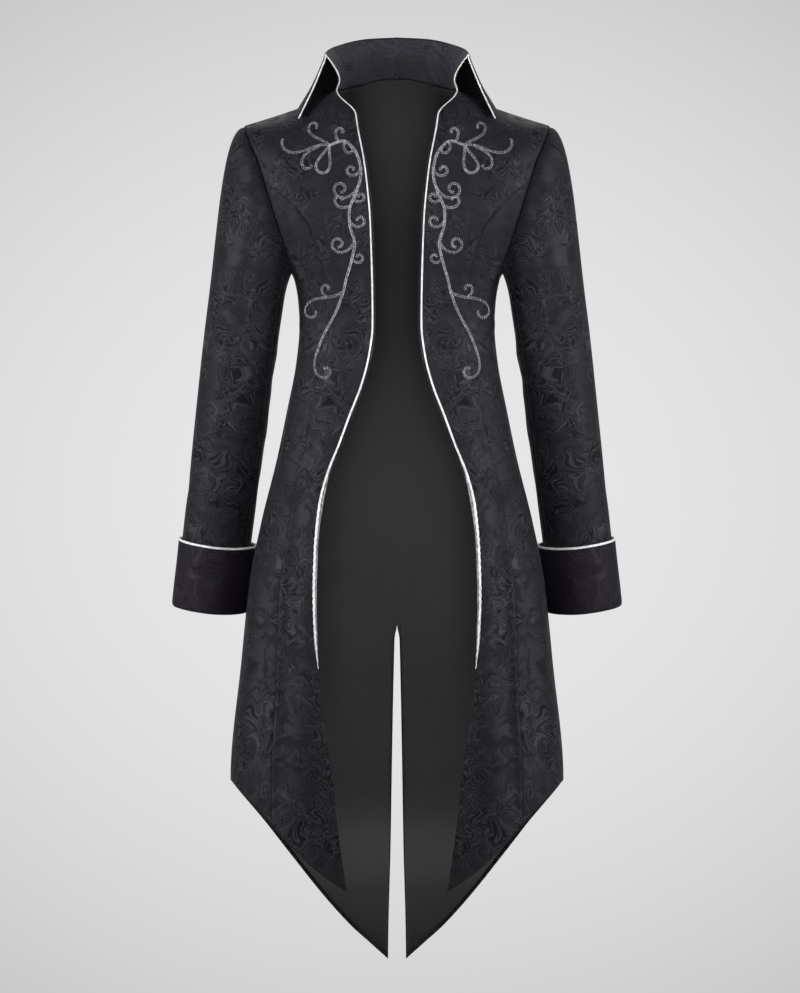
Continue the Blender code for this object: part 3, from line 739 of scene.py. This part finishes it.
for side, hand in SIDES:
    piece = cloth(f"side_front_{hand}_cloth", 28, 165, side_front_place, (black_jacquard, charcoal_lining),
                  (side,), SIDE_CREASES, "lrT", start=lambda point: point.x * ROUND_THE_SIDE)
    finished(piece, "brocade", [f"side_front_{hand}"])
    fronts[side].append(piece)

# ---- Backs ------------------------------------------------------------------------------------------------
# Two halves of jacquard meet in the centre back seam, which opens into the vent between the pointed tails.
# They are sewn to the fronts at the shoulders and to the side fronts below the arms.
ARMHOLE_BACK = Table("height x", [
    (-37, 196), (-55, 193), (-83, 184), (-113, 176), (-146, 166), (-185, 152), (-218, 138.5),
])
NECKLINE = Table("x height", [(0, 26), (24, 23), (50, 16), (70, 10.5), (NECK_HALF_WIDTH, NECK_POINT)])
VENT = Table("height x", [
    (-1107, 11.5), (-1060, 10.9), (-964, 8.3), (-849, 6.4), (-772, 5), (-695, 3.2), (-680, 0.3),
])
BACK_HEM = Table("x height", [
    (11, -1107), (38, -1083), (60, -1063), (95, -1024), (140, -967), (170, -928), (202, -889), (213, -874),
])
BACK_CREASES = [
    (30, -60, 120, -120, 10, 16, 1.2), (60, -40, 150, -150, -8, 14, -1.3),
    (96, -120, 150, -215, 10, 14, -1.6), (20, -262, 110, -276, 5, 9, 1.3),
    (14, -284, 120, -300, -5, 9, -1.5), (24, -310, 118, -326, 5, 10, 1.2),
    (40, -330, 66, -560, 8, 16, -1.8), (96, -340, 140, -620, -10, 20, 2.2),
    (70, -460, 96, -980, 10, 24, 3.0), (128, -520, 172, -940, 8, 24, -3.0),
    (36, -620, 44, -1060, 6, 18, -2.2), (168, -640, 206, -890, 6, 22, 2.6),
]
armhole_back = line_on_body(ARMHOLE_BACK.rows, behind=True, end=SIDE)
back_edge = line_on_body(VENT.rows, behind=True)


def back_line(level):
    if level > VENT_TOP:
        return pi
    return back_edge.at(level, "turn")


def back_outer_line(level):
    if level > UNDERARM:
        return armhole_back.at(level, "turn")
    return pi / 2


def neck_place(place):
    """A point of the back neckline as turn and level, from the centre back (0) to the shoulder (1)."""
    x = NECK_HALF_WIDTH * sin(place * pi / 2)
    return place_on_body(x, NECKLINE.at(x, "height"), behind=True)


NECK_STEPS = 20
neck_rows = []
for k in range(NECK_STEPS + 1):
    turn, level = neck_place(k / NECK_STEPS)
    neck_rows.append(((pi - turn) / (pi - back_outer_line(level)), level))
neck_tops = Table("share level", neck_rows)
neck_share = neck_rows[-1][0]


def back_top(across):
    return neck_tops.at(across, "level") if across < neck_share else 0.0


def back_turn_level(across, down, lift=0.0):
    hem = hem_level(BACK_HEM, back_line, back_outer_line, across) + lift
    level = level_down(down, back_top(across), hem)
    return turn_between(back_line, back_outer_line, across, level), level


def back_place(across, down):
    return body_point(*back_turn_level(across, down))


BACK_DIP = 1.0            # the lining lies close behind these seams

for side, hand in SIDES:
    piece = cloth(f"back_{hand}_cloth", 44, 200, back_place, (black_jacquard,), (side,), BACK_CREASES, "lrt",
                  turned=True, dip=BACK_DIP)
    finished(piece, "brocade", [f"back_{hand}"])

# ---- Back lining ------------------------------------------------------------------------------------------
# Plain charcoal lining behind the open fronts, from the neck seam to the tails, where it stops just short
# of the hem and of the vent's edges.
LINING_DEPTH, LINING_WALL, LINING_EASE = 3.1, 1.0, 0.4
LINING_SHARE = 0.94                       # it ends just before the side seam
LINING_HEM, LINING_VENT = 6.0, 1.5


def lining_place(across, down):
    share = across * LINING_SHARE
    turn, level = back_turn_level(share, down, LINING_HEM)
    point = moved_in(turn, level, LINING_DEPTH)
    if share == 0:
        point.x = VENT.at(level, "x") + LINING_VENT if level < VENT_TOP else 0.0
    return point


piece = cloth("lining_back_cloth", 40, 190, lining_place, (charcoal_lining,), (1, -1), BACK_CREASES, "l",
              wall=LINING_WALL, turned=True, ease=LINING_EASE, dip=0.0)
finished(piece, "lining", ["lining_back"])

# ---- Sleeves ----------------------------------------------------------------------------------------------
# Two-piece sleeves of lined jacquard: the top sleeve's head is eased into the armhole, and the narrow under
# sleeve runs down the inside of the arm. Two long seams join them.
SLEEVE = Table("height x y half_width half_depth", [
    (-262, 193.3, 3, 47.8, 60), (-311, 200, 9, 47.2, 59), (-388, 209, 19, 46.0, 55),
    (-465, 218.3, 29, 45.0, 51.5), (-541, 227.8, 38, 44.2, 48.5), (-610, 236, 44, 43.6, 46.5),
    (-652, 241, 46.5, 43.2, 46),
])
SLEEVE_TILT, SLEEVE_LEAN = 0.125, 0.11    # how far it leans out and back for each mm down
SLEEVE_TOP, SLEEVE_END = -262.0, -646.0
ARM_AXIS = Vector((-SLEEVE_TILT, 0, 1))
ARMHOLE_DEPTH = 1.7                       # how deep in the seam the sleeve starts
ARMHOLE_STEPS = 40
# How the cap leaves the armhole: up at the shoulder, outwards, forwards, and down at the underarm.
CAP_LIFT, CAP_OUT, CAP_FORWARD, CAP_DROP = 20.0, 7.0, 9.0, 14.0
CAP_HANG, CAP_HANG_TOP, CAP_FULLNESS = 8.0, 92.0, 1.2       # how steeply it comes down into the arm
CAP_SHARE = 0.3                           # how much of the sleeve's length is its cap
FRONT_SLEEVE_SEAM, BACK_SLEEVE_SEAM = 2.671, 4.684          # angles round the arm
TOP_SLEEVE_START, UNDER_SLEEVE_START = -80.0, 130.0         # where their first edges lie on the flat cloth
SLEEVE_CREASES = [
    (30, -120, 74, -250, 8, 12, 1.3), (-20, -110, -70, -240, 8, 12, -1.2), (84, -300, 20, -372, 6, 11, 1.4),
    (100, -330, 30, -420, -6, 11, -1.6), (92, -380, 10, -450, 6, 12, 1.2), (60, -440, -20, -520, 6, 12, -1.1),
    (20, -300, 26, -520, 8, 16, 1.0), (-50, -280, -40, -500, -8, 16, -1.2), (70, -500, 10, -560, 5, 9, 1.1),
    (50, -250, 62, -330, 5, 12, -1.0),
]
UNDER_CREASES = [
    (130, -300, 190, -340, 6, 10, 1.2), (136, -350, 200, -392, -6, 11, -1.4),
    (140, -400, 196, -450, 6, 11, 1.1), (150, -480, 190, -540, 5, 12, -1.0),
]

loop_levels = [CHEST * (1 - cos(pi / 2 * k / ARMHOLE_STEPS)) for k in range(ARMHOLE_STEPS + 1)]
loop_levels += [CHEST + (UNDERARM - CHEST) * k / ARMHOLE_STEPS for k in range(1, ARMHOLE_STEPS + 1)]


def armhole_line(armhole, levels):
    return [moved_in(armhole.at(level, "turn"), level, ARMHOLE_DEPTH) for level in levels]


front_loop = armhole_line(armhole_front, loop_levels)
back_loop = armhole_line(armhole_back, loop_levels[::-1])


def along_loop(points, share):
    """The point at a share of the line's length."""
    lengths = [0.0]
    for a, b in zip(points, points[1:]):
        lengths.append(lengths[-1] + (b - a).length)
    wanted = share * lengths[-1]
    k = min(bisect_right(lengths, wanted), len(points) - 1)
    return points[k - 1].lerp(points[k], (wanted - lengths[k - 1]) / (lengths[k] - lengths[k - 1]))


@cache
def armhole_point(angle):
    """Angle 0 is on the shoulder and pi at the underarm."""
    if angle <= pi:
        return along_loop(front_loop, angle / pi)
    return along_loop(back_loop, angle / pi - 1)


def sleeve_ring_point(height, angle, stand_off=0.0):
    """A point of the ring whose middle is at a height: angle 0 outside, pi/2 in front."""
    across = (SLEEVE.at(height, "half_width") + stand_off) * cos(angle)
    forward = (SLEEVE.at(height, "half_depth") + stand_off) * sin(angle)
    x = SLEEVE.at(height, "x") + across
    drop = across * SLEEVE_TILT - forward * SLEEVE_LEAN
    return Vector((x, SLEEVE.at(height, "y") - forward, height + drop))


def cap_point(angle, share):
    """The sleeve cap leaves the armhole outwards and turns down into the arm."""
    end = sleeve_ring_point(SLEEVE_TOP, angle)
    top = (1 + cos(angle)) / 2
    start = armhole_point(angle)
    away = Vector((CAP_LIFT * top + CAP_OUT, -CAP_FORWARD * sin(angle), -CAP_DROP * (1 - top)))
    first, last = start + away, end + ARM_AXIS * (CAP_HANG + CAP_HANG_TOP * top ** CAP_FULLNESS)
    rest = 1 - share
    return (
        start * rest ** 3 + first * (3 * share * rest ** 2)
        + last * (3 * share ** 2 * rest) + end * share ** 3
    )


def sleeve_place(first_angle, last_angle):
    def place(across, down):
        angle = (first_angle + (last_angle - first_angle) * across) % (2 * pi)
        if down < CAP_SHARE:
            return cap_point(angle, down / CAP_SHARE)
        arm = (down - CAP_SHARE) / (1 - CAP_SHARE)
        return sleeve_ring_point(SLEEVE_TOP + (SLEEVE_END - SLEEVE_TOP) * arm, angle)
    return place


for side, hand in SIDES:
    top_first = BACK_SLEEVE_SEAM - 2 * pi
    piece = cloth(f"top_sleeve_{hand}_cloth", 48, 130, sleeve_place(top_first, FRONT_SLEEVE_SEAM),
                  (black_jacquard, charcoal_lining), (side,), SLEEVE_CREASES, "LR", turned=True,
                  start=lambda point: TOP_SLEEVE_START, eased=CAP_SHARE)
    finished(piece, "brocade", [f"top_sleeve_{hand}"])
    piece = cloth(f"under_sleeve_{hand}_cloth", 28, 110, sleeve_place(FRONT_SLEEVE_SEAM, BACK_SLEEVE_SEAM),
                  (black_jacquard, charcoal_lining), (side,), UNDER_CREASES, "LR", turned=True,
                  start=lambda point: UNDER_SLEEVE_START, eased=CAP_SHARE)
    finished(piece, "brocade", [f"under_sleeve_{hand}"])

# ---- Cuffs ------------------------------------------------------------------------------------------------
# Deep turned-back cuffs of a plainer, darker jacquard. Each is one band, folded in at the wrist and sewn to
# the sleeve's end inside.
CUFF = Table("place height stand_off", [
    (0, -573, 8.5), (1, -600, 8.2), (2, -628, 8.6), (3, -652.5, 8.4),
    (4, -656.5, 4.5), (5, -655, -2.5), (6, -646, -4.8), (7, -618, -4.8),
])
CUFF_CREASES = [
    (20, -585, 32, -640, 4, 10, 0.8), (92, -590, 80, -640, -4, 10, -0.9), (-30, -585, -24, -636, 3, 11, -0.7),
]
CUFF_SNUG = 0.5                     # how much closer it lies on the outside of the arm
CUFF_RISE, CUFF_RISE_BEND = 3.5, 1.5    # how much it rises towards the body
cuff_jacquard = jacquard("cuff_jacquard", (0.0068, 0.0052, 0.0083, 1), (0.0096, 0.0076, 0.0114, 1),
                         (0.015, 0.0125, 0.0178, 1), motif=0.034, contrast=0.7)


def cuff_point(angle, place, further_in=0.0):
    stand_off = CUFF.at(place, "stand_off")
    if stand_off > 0:
        stand_off *= 1 - CUFF_SNUG * max(cos(angle), 0.0) ** 2
    point = sleeve_ring_point(CUFF.at(place, "height"), angle, stand_off - further_in)
    return point + Vector((0, 0, CUFF_RISE * max(-cos(angle), 0.0) ** CUFF_RISE_BEND))


def cuff_place(across, down):
    return cuff_point(2 * pi * across, CUFF.places[-1] * down)


for side, hand in SIDES:
    piece = cloth(f"cuff_{hand}_cloth", 72, 56, cuff_place, (cuff_jacquard,), (side,), CUFF_CREASES,
                  turned=True, start=lambda point: 0.0, ease=0.0)
    finished(piece, "cuff_brocade", [f"cuff_{hand}"])

# ---- Collar -----------------------------------------------------------------------------------------------
# A stand-and-fall collar cut in one with its stand: it rises from the neck seam, folds over at the crown and
# falls to a point on each side. Where it stands its top is a paler jacquard, as painted light, and its
# underside is black felt, made near-black as painted shade.
STAND_MIDDLE = Table("place x y z", [
    (0, 0, 86, 50), (0.25, 33, 79.5, 48), (0.5, 60, 55, 41), (0.75, 75, 14, 33), (1, 74.2, -20, 26),
])
CROWN = Table("place x y z", [
    (0, 0, 92, 77), (0.25, 37, 85.5, 75), (0.5, 68, 61, 68), (0.75, 86, 21, 60), (1, 90.2, -25, 54.5),
])
LEAF_TOP = Table("place x y z", [
    (0, 0, 99, 70), (0.25, 39.5, 92, 68), (0.5, 73, 66, 61), (0.75, 92, 23, 53), (1, 95.5, -28, 45),
])
LEAF_MIDDLE = Table("place x y z", [
    (0, 0, 104, 43), (0.25, 43, 96.5, 41), (0.5, 80, 72, 34), (0.75, 105, 26, 24), (1, 108.5, -41, 13),
])
LEAF_EDGE = Table("place x y z", [
    (0, 0, 108, 10), (0.25, 47, 101, 8), (0.5, 89, 79, 0), (0.75, 121, 30, -15), (0.88, 126, -15, -13.5),
    (1, 127.5, -62, -27),
])
COLLAR_LINES = (STAND_MIDDLE, CROWN, LEAF_TOP, LEAF_MIDDLE, LEAF_EDGE)
COLLAR_LENGTH = len(COLLAR_LINES)         # places down the collar, from the neck seam (0) to the leaf's edge
NECK_SEAM = 1.5           # the stand starts this far above the back's neckline
COLLAR_FOLD = 0.4         # how much of its length stands
COLLAR_EASE = 0.3


@cache
def collar_stops(place):
    turn, level = neck_place(place)
    start = moved_in(turn, level, WALL) + Vector((0, 0, NECK_SEAM))
    return [start] + [Vector([line.at(place, axis) for axis in "xyz"]) for line in COLLAR_LINES]


def smooth_at(stops, place):
    """A point on the smooth curve through the stops. Place counts the stops."""
    k = min(int(place), len(stops) - 2)
    before = stops[k - 1] if k else stops[0] * 2 - stops[1]
    after = stops[k + 2] if k + 2 < len(stops) else stops[-1] * 2 - stops[-2]
    a, b, t = stops[k], stops[k + 1], place - k
    start, end = (b - before) / 2, (after - a) / 2
    return (
        a * ((1 + 2 * t) * (1 - t) ** 2) + start * (t * (1 - t) ** 2)
        + b * (t * t * (3 - 2 * t)) - end * (t * t * (1 - t))
    )


def collar_place(across, down):
    round_neck = 2 * across - 1
    point = smooth_at(collar_stops(abs(round_neck)), COLLAR_LENGTH * down)
    return Vector((point.x if round_neck > 0 else -point.x, point.y, point.z))


# Black felt for the under collar, made near-black as painted shade for the collar's hollow.
under_collar_felt_and_shade = plain_cloth("under_collar_felt_and_shade", [
    (-0.05, (0.0009, 0.0008, 0.0013, 1)), (0.08, (0.0013, 0.0011, 0.0018, 1)),
])
# A paler copy of the black jacquard, as painted light where the collar stands.
collar_painted_light_jacquard = jacquard("collar_painted_light_jacquard", (0.0242, 0.0224, 0.0288, 1), (0.0317, 0.0294, 0.0368, 1),
                           (0.0484, 0.0454, 0.0547, 1), motif=0.03, contrast=0.6)
finishes = (collar_painted_light_jacquard, under_collar_felt_and_shade, black_jacquard, under_collar_felt_and_shade)
piece = cloth("collar_cloth", 110, 44, collar_place, finishes, (1,), start=lambda point: 0.0,
              ease=COLLAR_EASE, turned=True, folded=COLLAR_FOLD)
finished(piece, "brocade", ["collar_stand", "collar_leaf"])

# ---- Piping -----------------------------------------------------------------------------------------------
# White satin-covered cord. It runs from the collar's tip over the crown, down the collar and the front edge,
# where it widens and puckers over the hip before it tapers out. A second one tops each cuff.
SATIN_PUCKERS, SATIN_DETAIL, SATIN_BUMP = 160.0, 2.0, (0.2, 0.0004)
SATIN_GLOSS = {"Roughness": 0.35, "Specular IOR Level": 0.3}
DARK_TO_LIGHT = (0.35, 0.65)              # where a thread's noise turns from its painted shade to its lighter tone


def satin_cloth(name, colour, darker):
    """Satin: smooth and bright, with small puckers whose hollows are painted darker as shade."""
    material, tree = new_material(name)
    puckers = noise(tree, node(tree, "ShaderNodeTexCoord").outputs["Object"], SATIN_PUCKERS, SATIN_DETAIL)
    # The puckers' hollows take the darker colour: painted shade.
    tone = mixed(tree, ramp(tree, puckers.outputs[0], *DARK_TO_LIGHT), darker, colour)
    surface(tree, tone, SATIN_GLOSS, puckers.outputs[0], SATIN_BUMP)
    return material


white_satin = satin_cloth("white_satin", (0.54, 0.54, 0.54, 1), (0.42, 0.42, 0.43, 1))
# A grey copy of the white satin, as painted shade on the bias strip beside the cord.
painted_shade_satin = satin_cloth("painted_shade_satin", (0.21, 0.21, 0.215, 1), (0.09, 0.09, 0.095, 1))

# Over the hips the bias strip that covers the cord is not bagged out, and shows beside it. It is a grey copy
# of the satin, as painted shade.
BIAS_TOP, BIAS_END = -462.0, -720.0
BIAS_SHOWS = Table("height shows", [
    (BIAS_TOP, 0), (-486, 0.9), (-512, 2.8), (-560, 1.5), (-610, 1.7), (-660, 1.4), (BIAS_END, 0.2),
])
# How far it is tucked in under the front, how deep it lies, how thick it is, and how high it ripples.
BIAS_TUCKED, BIAS_DEPTH, BIAS_WALL, BIAS_RIPPLE = 7.0, 2.2, 0.8, 0.4


def bias_place(across, down):
    height = BIAS_TOP + (BIAS_END - BIAS_TOP) * down
    shows = BIAS_SHOWS.at(height, "shows") + PIPING_RADIUS.at(height, "radius")
    x = FRONT_EDGE.at(height, "x") + BIAS_TUCKED - (shows + BIAS_TUCKED) * (1 - across)
    ripple = BIAS_RIPPLE * sin(height * 0.33) * sin(height * 0.12 + 1.0) * (1 - across)
    return moved_in(*place_on_body(x, height), BIAS_DEPTH - ripple)


for side, hand in SIDES:
    piece = cloth(f"bias_strip_{hand}_cloth", 5, 120, bias_place, (painted_shade_satin,), (side,), wall=BIAS_WALL,
                  ease=0.0)
    finished(piece, "white_satin", [])


def cord(name, points, radii, side, cyclic=False):
    """A covered cord along its path, as one tube."""
    curve = bpy.data.curves.new(name, "CURVE")
    curve.dimensions = "3D"
    curve.bevel_depth = MM
    curve.bevel_resolution = 3
    curve.use_fill_caps = not cyclic
    spline = curve.splines.new("POLY")
    spline.points.add(len(points) - 1)
    spline.use_cyclic_u = cyclic
    for point, place, radius in zip(spline.points, points, radii):
        point.co = (place.x * side * MM, place.y * MM, place.z * MM, 1.0)
        point.radius = radius
    curve.materials.append(white_satin)
    return placed(name, curve)


# The cord lies beside the collar's front edge. Below the crown, between two places down the collar, it draws
# back and under, so that the jacquard rolls over it.
ROLL_START, ROLL_FULL = 1.3, 2.0
ROLLED_BACK, ROLLED_UNDER = 0.5, 2.2
COLLAR_STEPS, STEP_BACK, STEP_ALONG = 60, 0.03, 0.05


def collar_edge_point(place):
    """A point of the cord at a place down the collar, between its neck seam and the leaf's tip."""
    before, edge = smooth_at(collar_stops(1 - STEP_BACK), place), collar_stops(1.0)
    end = smooth_at(edge, place)
    forward = (end - before).normalized()
    above, below = max(place - STEP_ALONG, 0), min(place + STEP_ALONG, COLLAR_LENGTH)
    under = (smooth_at(edge, below) - smooth_at(edge, above)).cross(forward).normalized()
    rolled = max(0.0, min((place - ROLL_START) / (ROLL_FULL - ROLL_START), 1.0))
    return end + forward * (COLLAR_PIPING - ROLLED_BACK * rolled) + under * ROLLED_UNDER * rolled


collar_path = [collar_edge_point(COLLAR_LENGTH * k / COLLAR_STEPS) for k in range(COLLAR_STEPS, -1, -1)]
collar_radii = [COLLAR_PIPING] * len(collar_path)

# Over the hips the piping puckers: small uneven waves draw it in and out, sideways and thinner.
PUCKER_START, PUCKER_FULL = -450.0, -540.0
PUCKER_IN, PUCKER_SIDEWAYS, PUCKER_THICKNESS = 0.25, 0.35, 0.07
EDGE_STEPS = 360


def pucker_wave(height):
    """Waves of three lengths together, so that no pucker is like the next."""
    return sin(height * 0.83) * cos(height * 0.29 + 1.0) + 0.6 * sin(height * 1.37 + 2.0)


edge_path, edge_radii = [], []
for k in range(1, EDGE_STEPS + 1):
    height = NECK_POINT + (PIPING_END - NECK_POINT) * k / EDGE_STEPS
    turn, level = place_on_body(FRONT_EDGE.at(height, "x"), height)
    puckered = max(0.0, min((PUCKER_START - height) / (PUCKER_START - PUCKER_FULL), 1.0))
    wave = puckered * pucker_wave(height)
    sideways = Vector((PUCKER_SIDEWAYS * puckered * cos(height * 0.71), 0, 0))
    edge_path.append(moved_in(turn, level, WALL / 2 - PUCKER_IN * wave) + sideways)
    edge_radii.append(PIPING_RADIUS.at(height, "radius") * (1 + PUCKER_THICKNESS * wave))

CUFF_PIPING, CUFF_STEPS = 1.6, 72
cuff_ring = []
for k in range(CUFF_STEPS):
    top_edge = cuff_point(2 * pi * k / CUFF_STEPS, 0, WALL / 2)
    cuff_ring.append(top_edge + ARM_AXIS * CUFF_PIPING)

for side, hand in SIDES:
    piece = cord(f"piping_{hand}_cord", collar_path + edge_path, collar_radii + edge_radii, side)
    sewn_on(piece, "white_satin", f"piping_{hand}")
    piece = cord(f"cuff_piping_{hand}_cord", cuff_ring, [CUFF_PIPING] * CUFF_STEPS, side, cyclic=True)
    sewn_on(piece, "white_satin", f"cuff_piping_{hand}")

# ---- Chest embroidery -------------------------------------------------------------------------------------
# A vine of silver-grey braid is stitched down on each front: a stem runs from below the shoulder to the
# waist, and scrolls leave it and wind up. The braid is two rows of slanted stitches, like a plait.
# The stem passes these points, outwards and by height.
STEM = [
    (86, -63), (67, -58), (52, -73), (46, -97), (51, -121), (60, -143), (60, -166), (54, -188), (58, -210),
    (64, -231), (69, -252), (79, -278), (93, -304), (103, -330),
]
# Each scroll: where it starts, its heading in degrees (0 is outwards, 90 is up), its length, and how much it
# bends at its start and end, in degrees a mm.
SCROLLS = [
    (86, -63, 48, 56.3, -2.4, 15.3), (86, -63, 14, 73.9, -2, 6.7), (98, -63.5, -30, 52.8, 0.6, -11.5),
    (74, -59, 55, 29.9, 1, 20), (66, -58.5, -55, 29.9, -4, -17.2), (46.5, -92, -85, 40.5, 4, 15.6),
    (47, -108, -78, 81, 1.2, 11.8), (60, -141, -25, 38.7, 2, 16), (55, -132, -120, 29.9, -6, -18.4),
    (60, -160, -110, 40.5, -4, -14.7), (54, -186, -70, 68.6, 2, 12.7), (57, -208, -110, 29.9, -6, -17.6),
    (69, -250, -40, 82.7, 2.1, -10.8), (88, -257.3, 20, 29.9, 3, 18.7), (103, -330, -72, 59.8, -0.8, -12.1),
]
LOOP = (86, -63, -72, 37, 9)      # a drop-shaped loop: where it hangs, its heading, length and half width
LOOP_FULLNESS = 1.5               # brings it to that width where it is widest
STEM_STITCHES, LOOP_STITCHES = 220, 54
STITCH_STEP = 2.3
ROW_OFFSET, STITCH_SLANT, STITCH_LIFT = 1.0, radians(38), 0.2
STITCH_SIZE = (1.3, 0.7, 0.95)    # half its length, width and height
WINDING_UP = 1.5                  # how late along a scroll it bends most
# How fine the braid's painted glints and shade are, and the two colours they pass between.
BRAID_GLINT_SCALE, BRAID_DETAIL = 420.0, 2.0
BRAID_PAINTED_SHADE, BRAID_PAINTED_GLINT = (0.05, 0.05, 0.053, 1), (0.29, 0.29, 0.298, 1)

# The braid's silver-grey is painted with random glints and shade.
silver_braid, tree = new_material("silver_braid")
painted_glints = noise(tree, node(tree, "ShaderNodeTexCoord").outputs["Object"], BRAID_GLINT_SCALE, BRAID_DETAIL)
tone = mixed(tree, ramp(tree, painted_glints.outputs[0], *DARK_TO_LIGHT), BRAID_PAINTED_SHADE, BRAID_PAINTED_GLINT)
surface(tree, tone, {"Roughness": 0.38, "Specular IOR Level": 0.6})


def stem_line():
    stops = [Vector(stop) for stop in STEM]
    return [smooth_at(stops, (len(STEM) - 1) * k / STEM_STITCHES) for k in range(STEM_STITCHES + 1)]


def scroll_line(x, height, heading, length, first_bend, last_bend):
    """A line that bends more and more, until it has wound itself up."""
    line = [Vector((x, height))]
    count = round(length / STITCH_STEP)
    for k in range(count):
        heading += (first_bend + (last_bend - first_bend) * (k / count) ** WINDING_UP) * length / count
        line.append(line[-1] + Vector((cos(radians(heading)), sin(radians(heading)))) * length / count)
    return line


def loop_line(x, height, heading, length, half_width):
    """A line that swells out like a drop and comes back to where it hangs."""
    turn = Matrix.Rotation(radians(heading), 2)
    line = []
    for k in range(LOOP_STITCHES + 1):
        round_loop = 2 * pi * k / LOOP_STITCHES
        swell = (1 - cos(round_loop)) / 2
        beside = LOOP_FULLNESS * half_width * sin(round_loop) * swell
        line.append(Vector((x, height)) + turn @ Vector((length * swell, beside)))
    return line


def stitched(name, lines, grounds, side):
    """Slanted stitches in two rows along each line, laid on the cloth below them. Each line is a mesh of its
    own until it joins the rest, because a small mesh is quicker to add to than a large one."""
    ground = bmesh.new()
    for piece in grounds:
        ground.from_mesh(piece.data)
    face_of_cloth = BVHTree.FromBMesh(ground)
    ground.free()
    backwards = Vector((0, 1, 0))
    braid = bmesh.new()
    stitches = bpy.data.meshes.new(name)
    for line in lines:
        row_of_stitches = bmesh.new()
        laid = []
        for x, height in line:
            in_front = Vector((side * x * MM, -1.0, height * MM))
            place, normal, _, _ = face_of_cloth.ray_cast(in_front, backwards)
            if place:
                laid.append((place, normal))
        for k, (place, normal) in enumerate(laid):
            before, after = laid[max(k - 1, 0)][0], laid[min(k + 1, len(laid) - 1)][0]
            along = (after - before).normalized()
            for row in (1, -1):
                slant = Matrix.Rotation(row * STITCH_SLANT, 3, normal)
                axis = (slant @ along).normalized()
                across = normal.cross(axis).normalized()
                long, wide, high = STITCH_SIZE
                shape = Matrix((axis * long * MM, across * wide * MM, normal * high * MM))
                shape = shape.transposed().to_4x4()
                middle = place + normal.cross(along) * row * ROW_OFFSET * MM + normal * STITCH_LIFT * MM
                bmesh.ops.create_icosphere(row_of_stitches, subdivisions=1, radius=1.0,
                                           matrix=Matrix.Translation(middle) @ shape)
        bmesh.ops.recalc_face_normals(row_of_stitches, faces=row_of_stitches.faces)
        row_of_stitches.to_mesh(stitches)
        row_of_stitches.free()
        braid.from_mesh(stitches)
    braid.to_mesh(stitches)
    braid.free()
    stitches.shade_smooth()
    stitches.materials.append(silver_braid)
    return placed(name, stitches)


for side, hand in SIDES:
    lines = [stem_line(), loop_line(*LOOP)] + [scroll_line(*scroll) for scroll in SCROLLS]
    sewn_on(stitched(f"embroidery_{hand}_braid", lines, fronts[side], side), "silver_braid")

# ---- The coat's size --------------------------------------------------------------------------------------
# The box of the solids and the box of the coat as it looks, both in metres.
size = {"cad_m": cad_box, "visual_m": [list(corner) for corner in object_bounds()]}
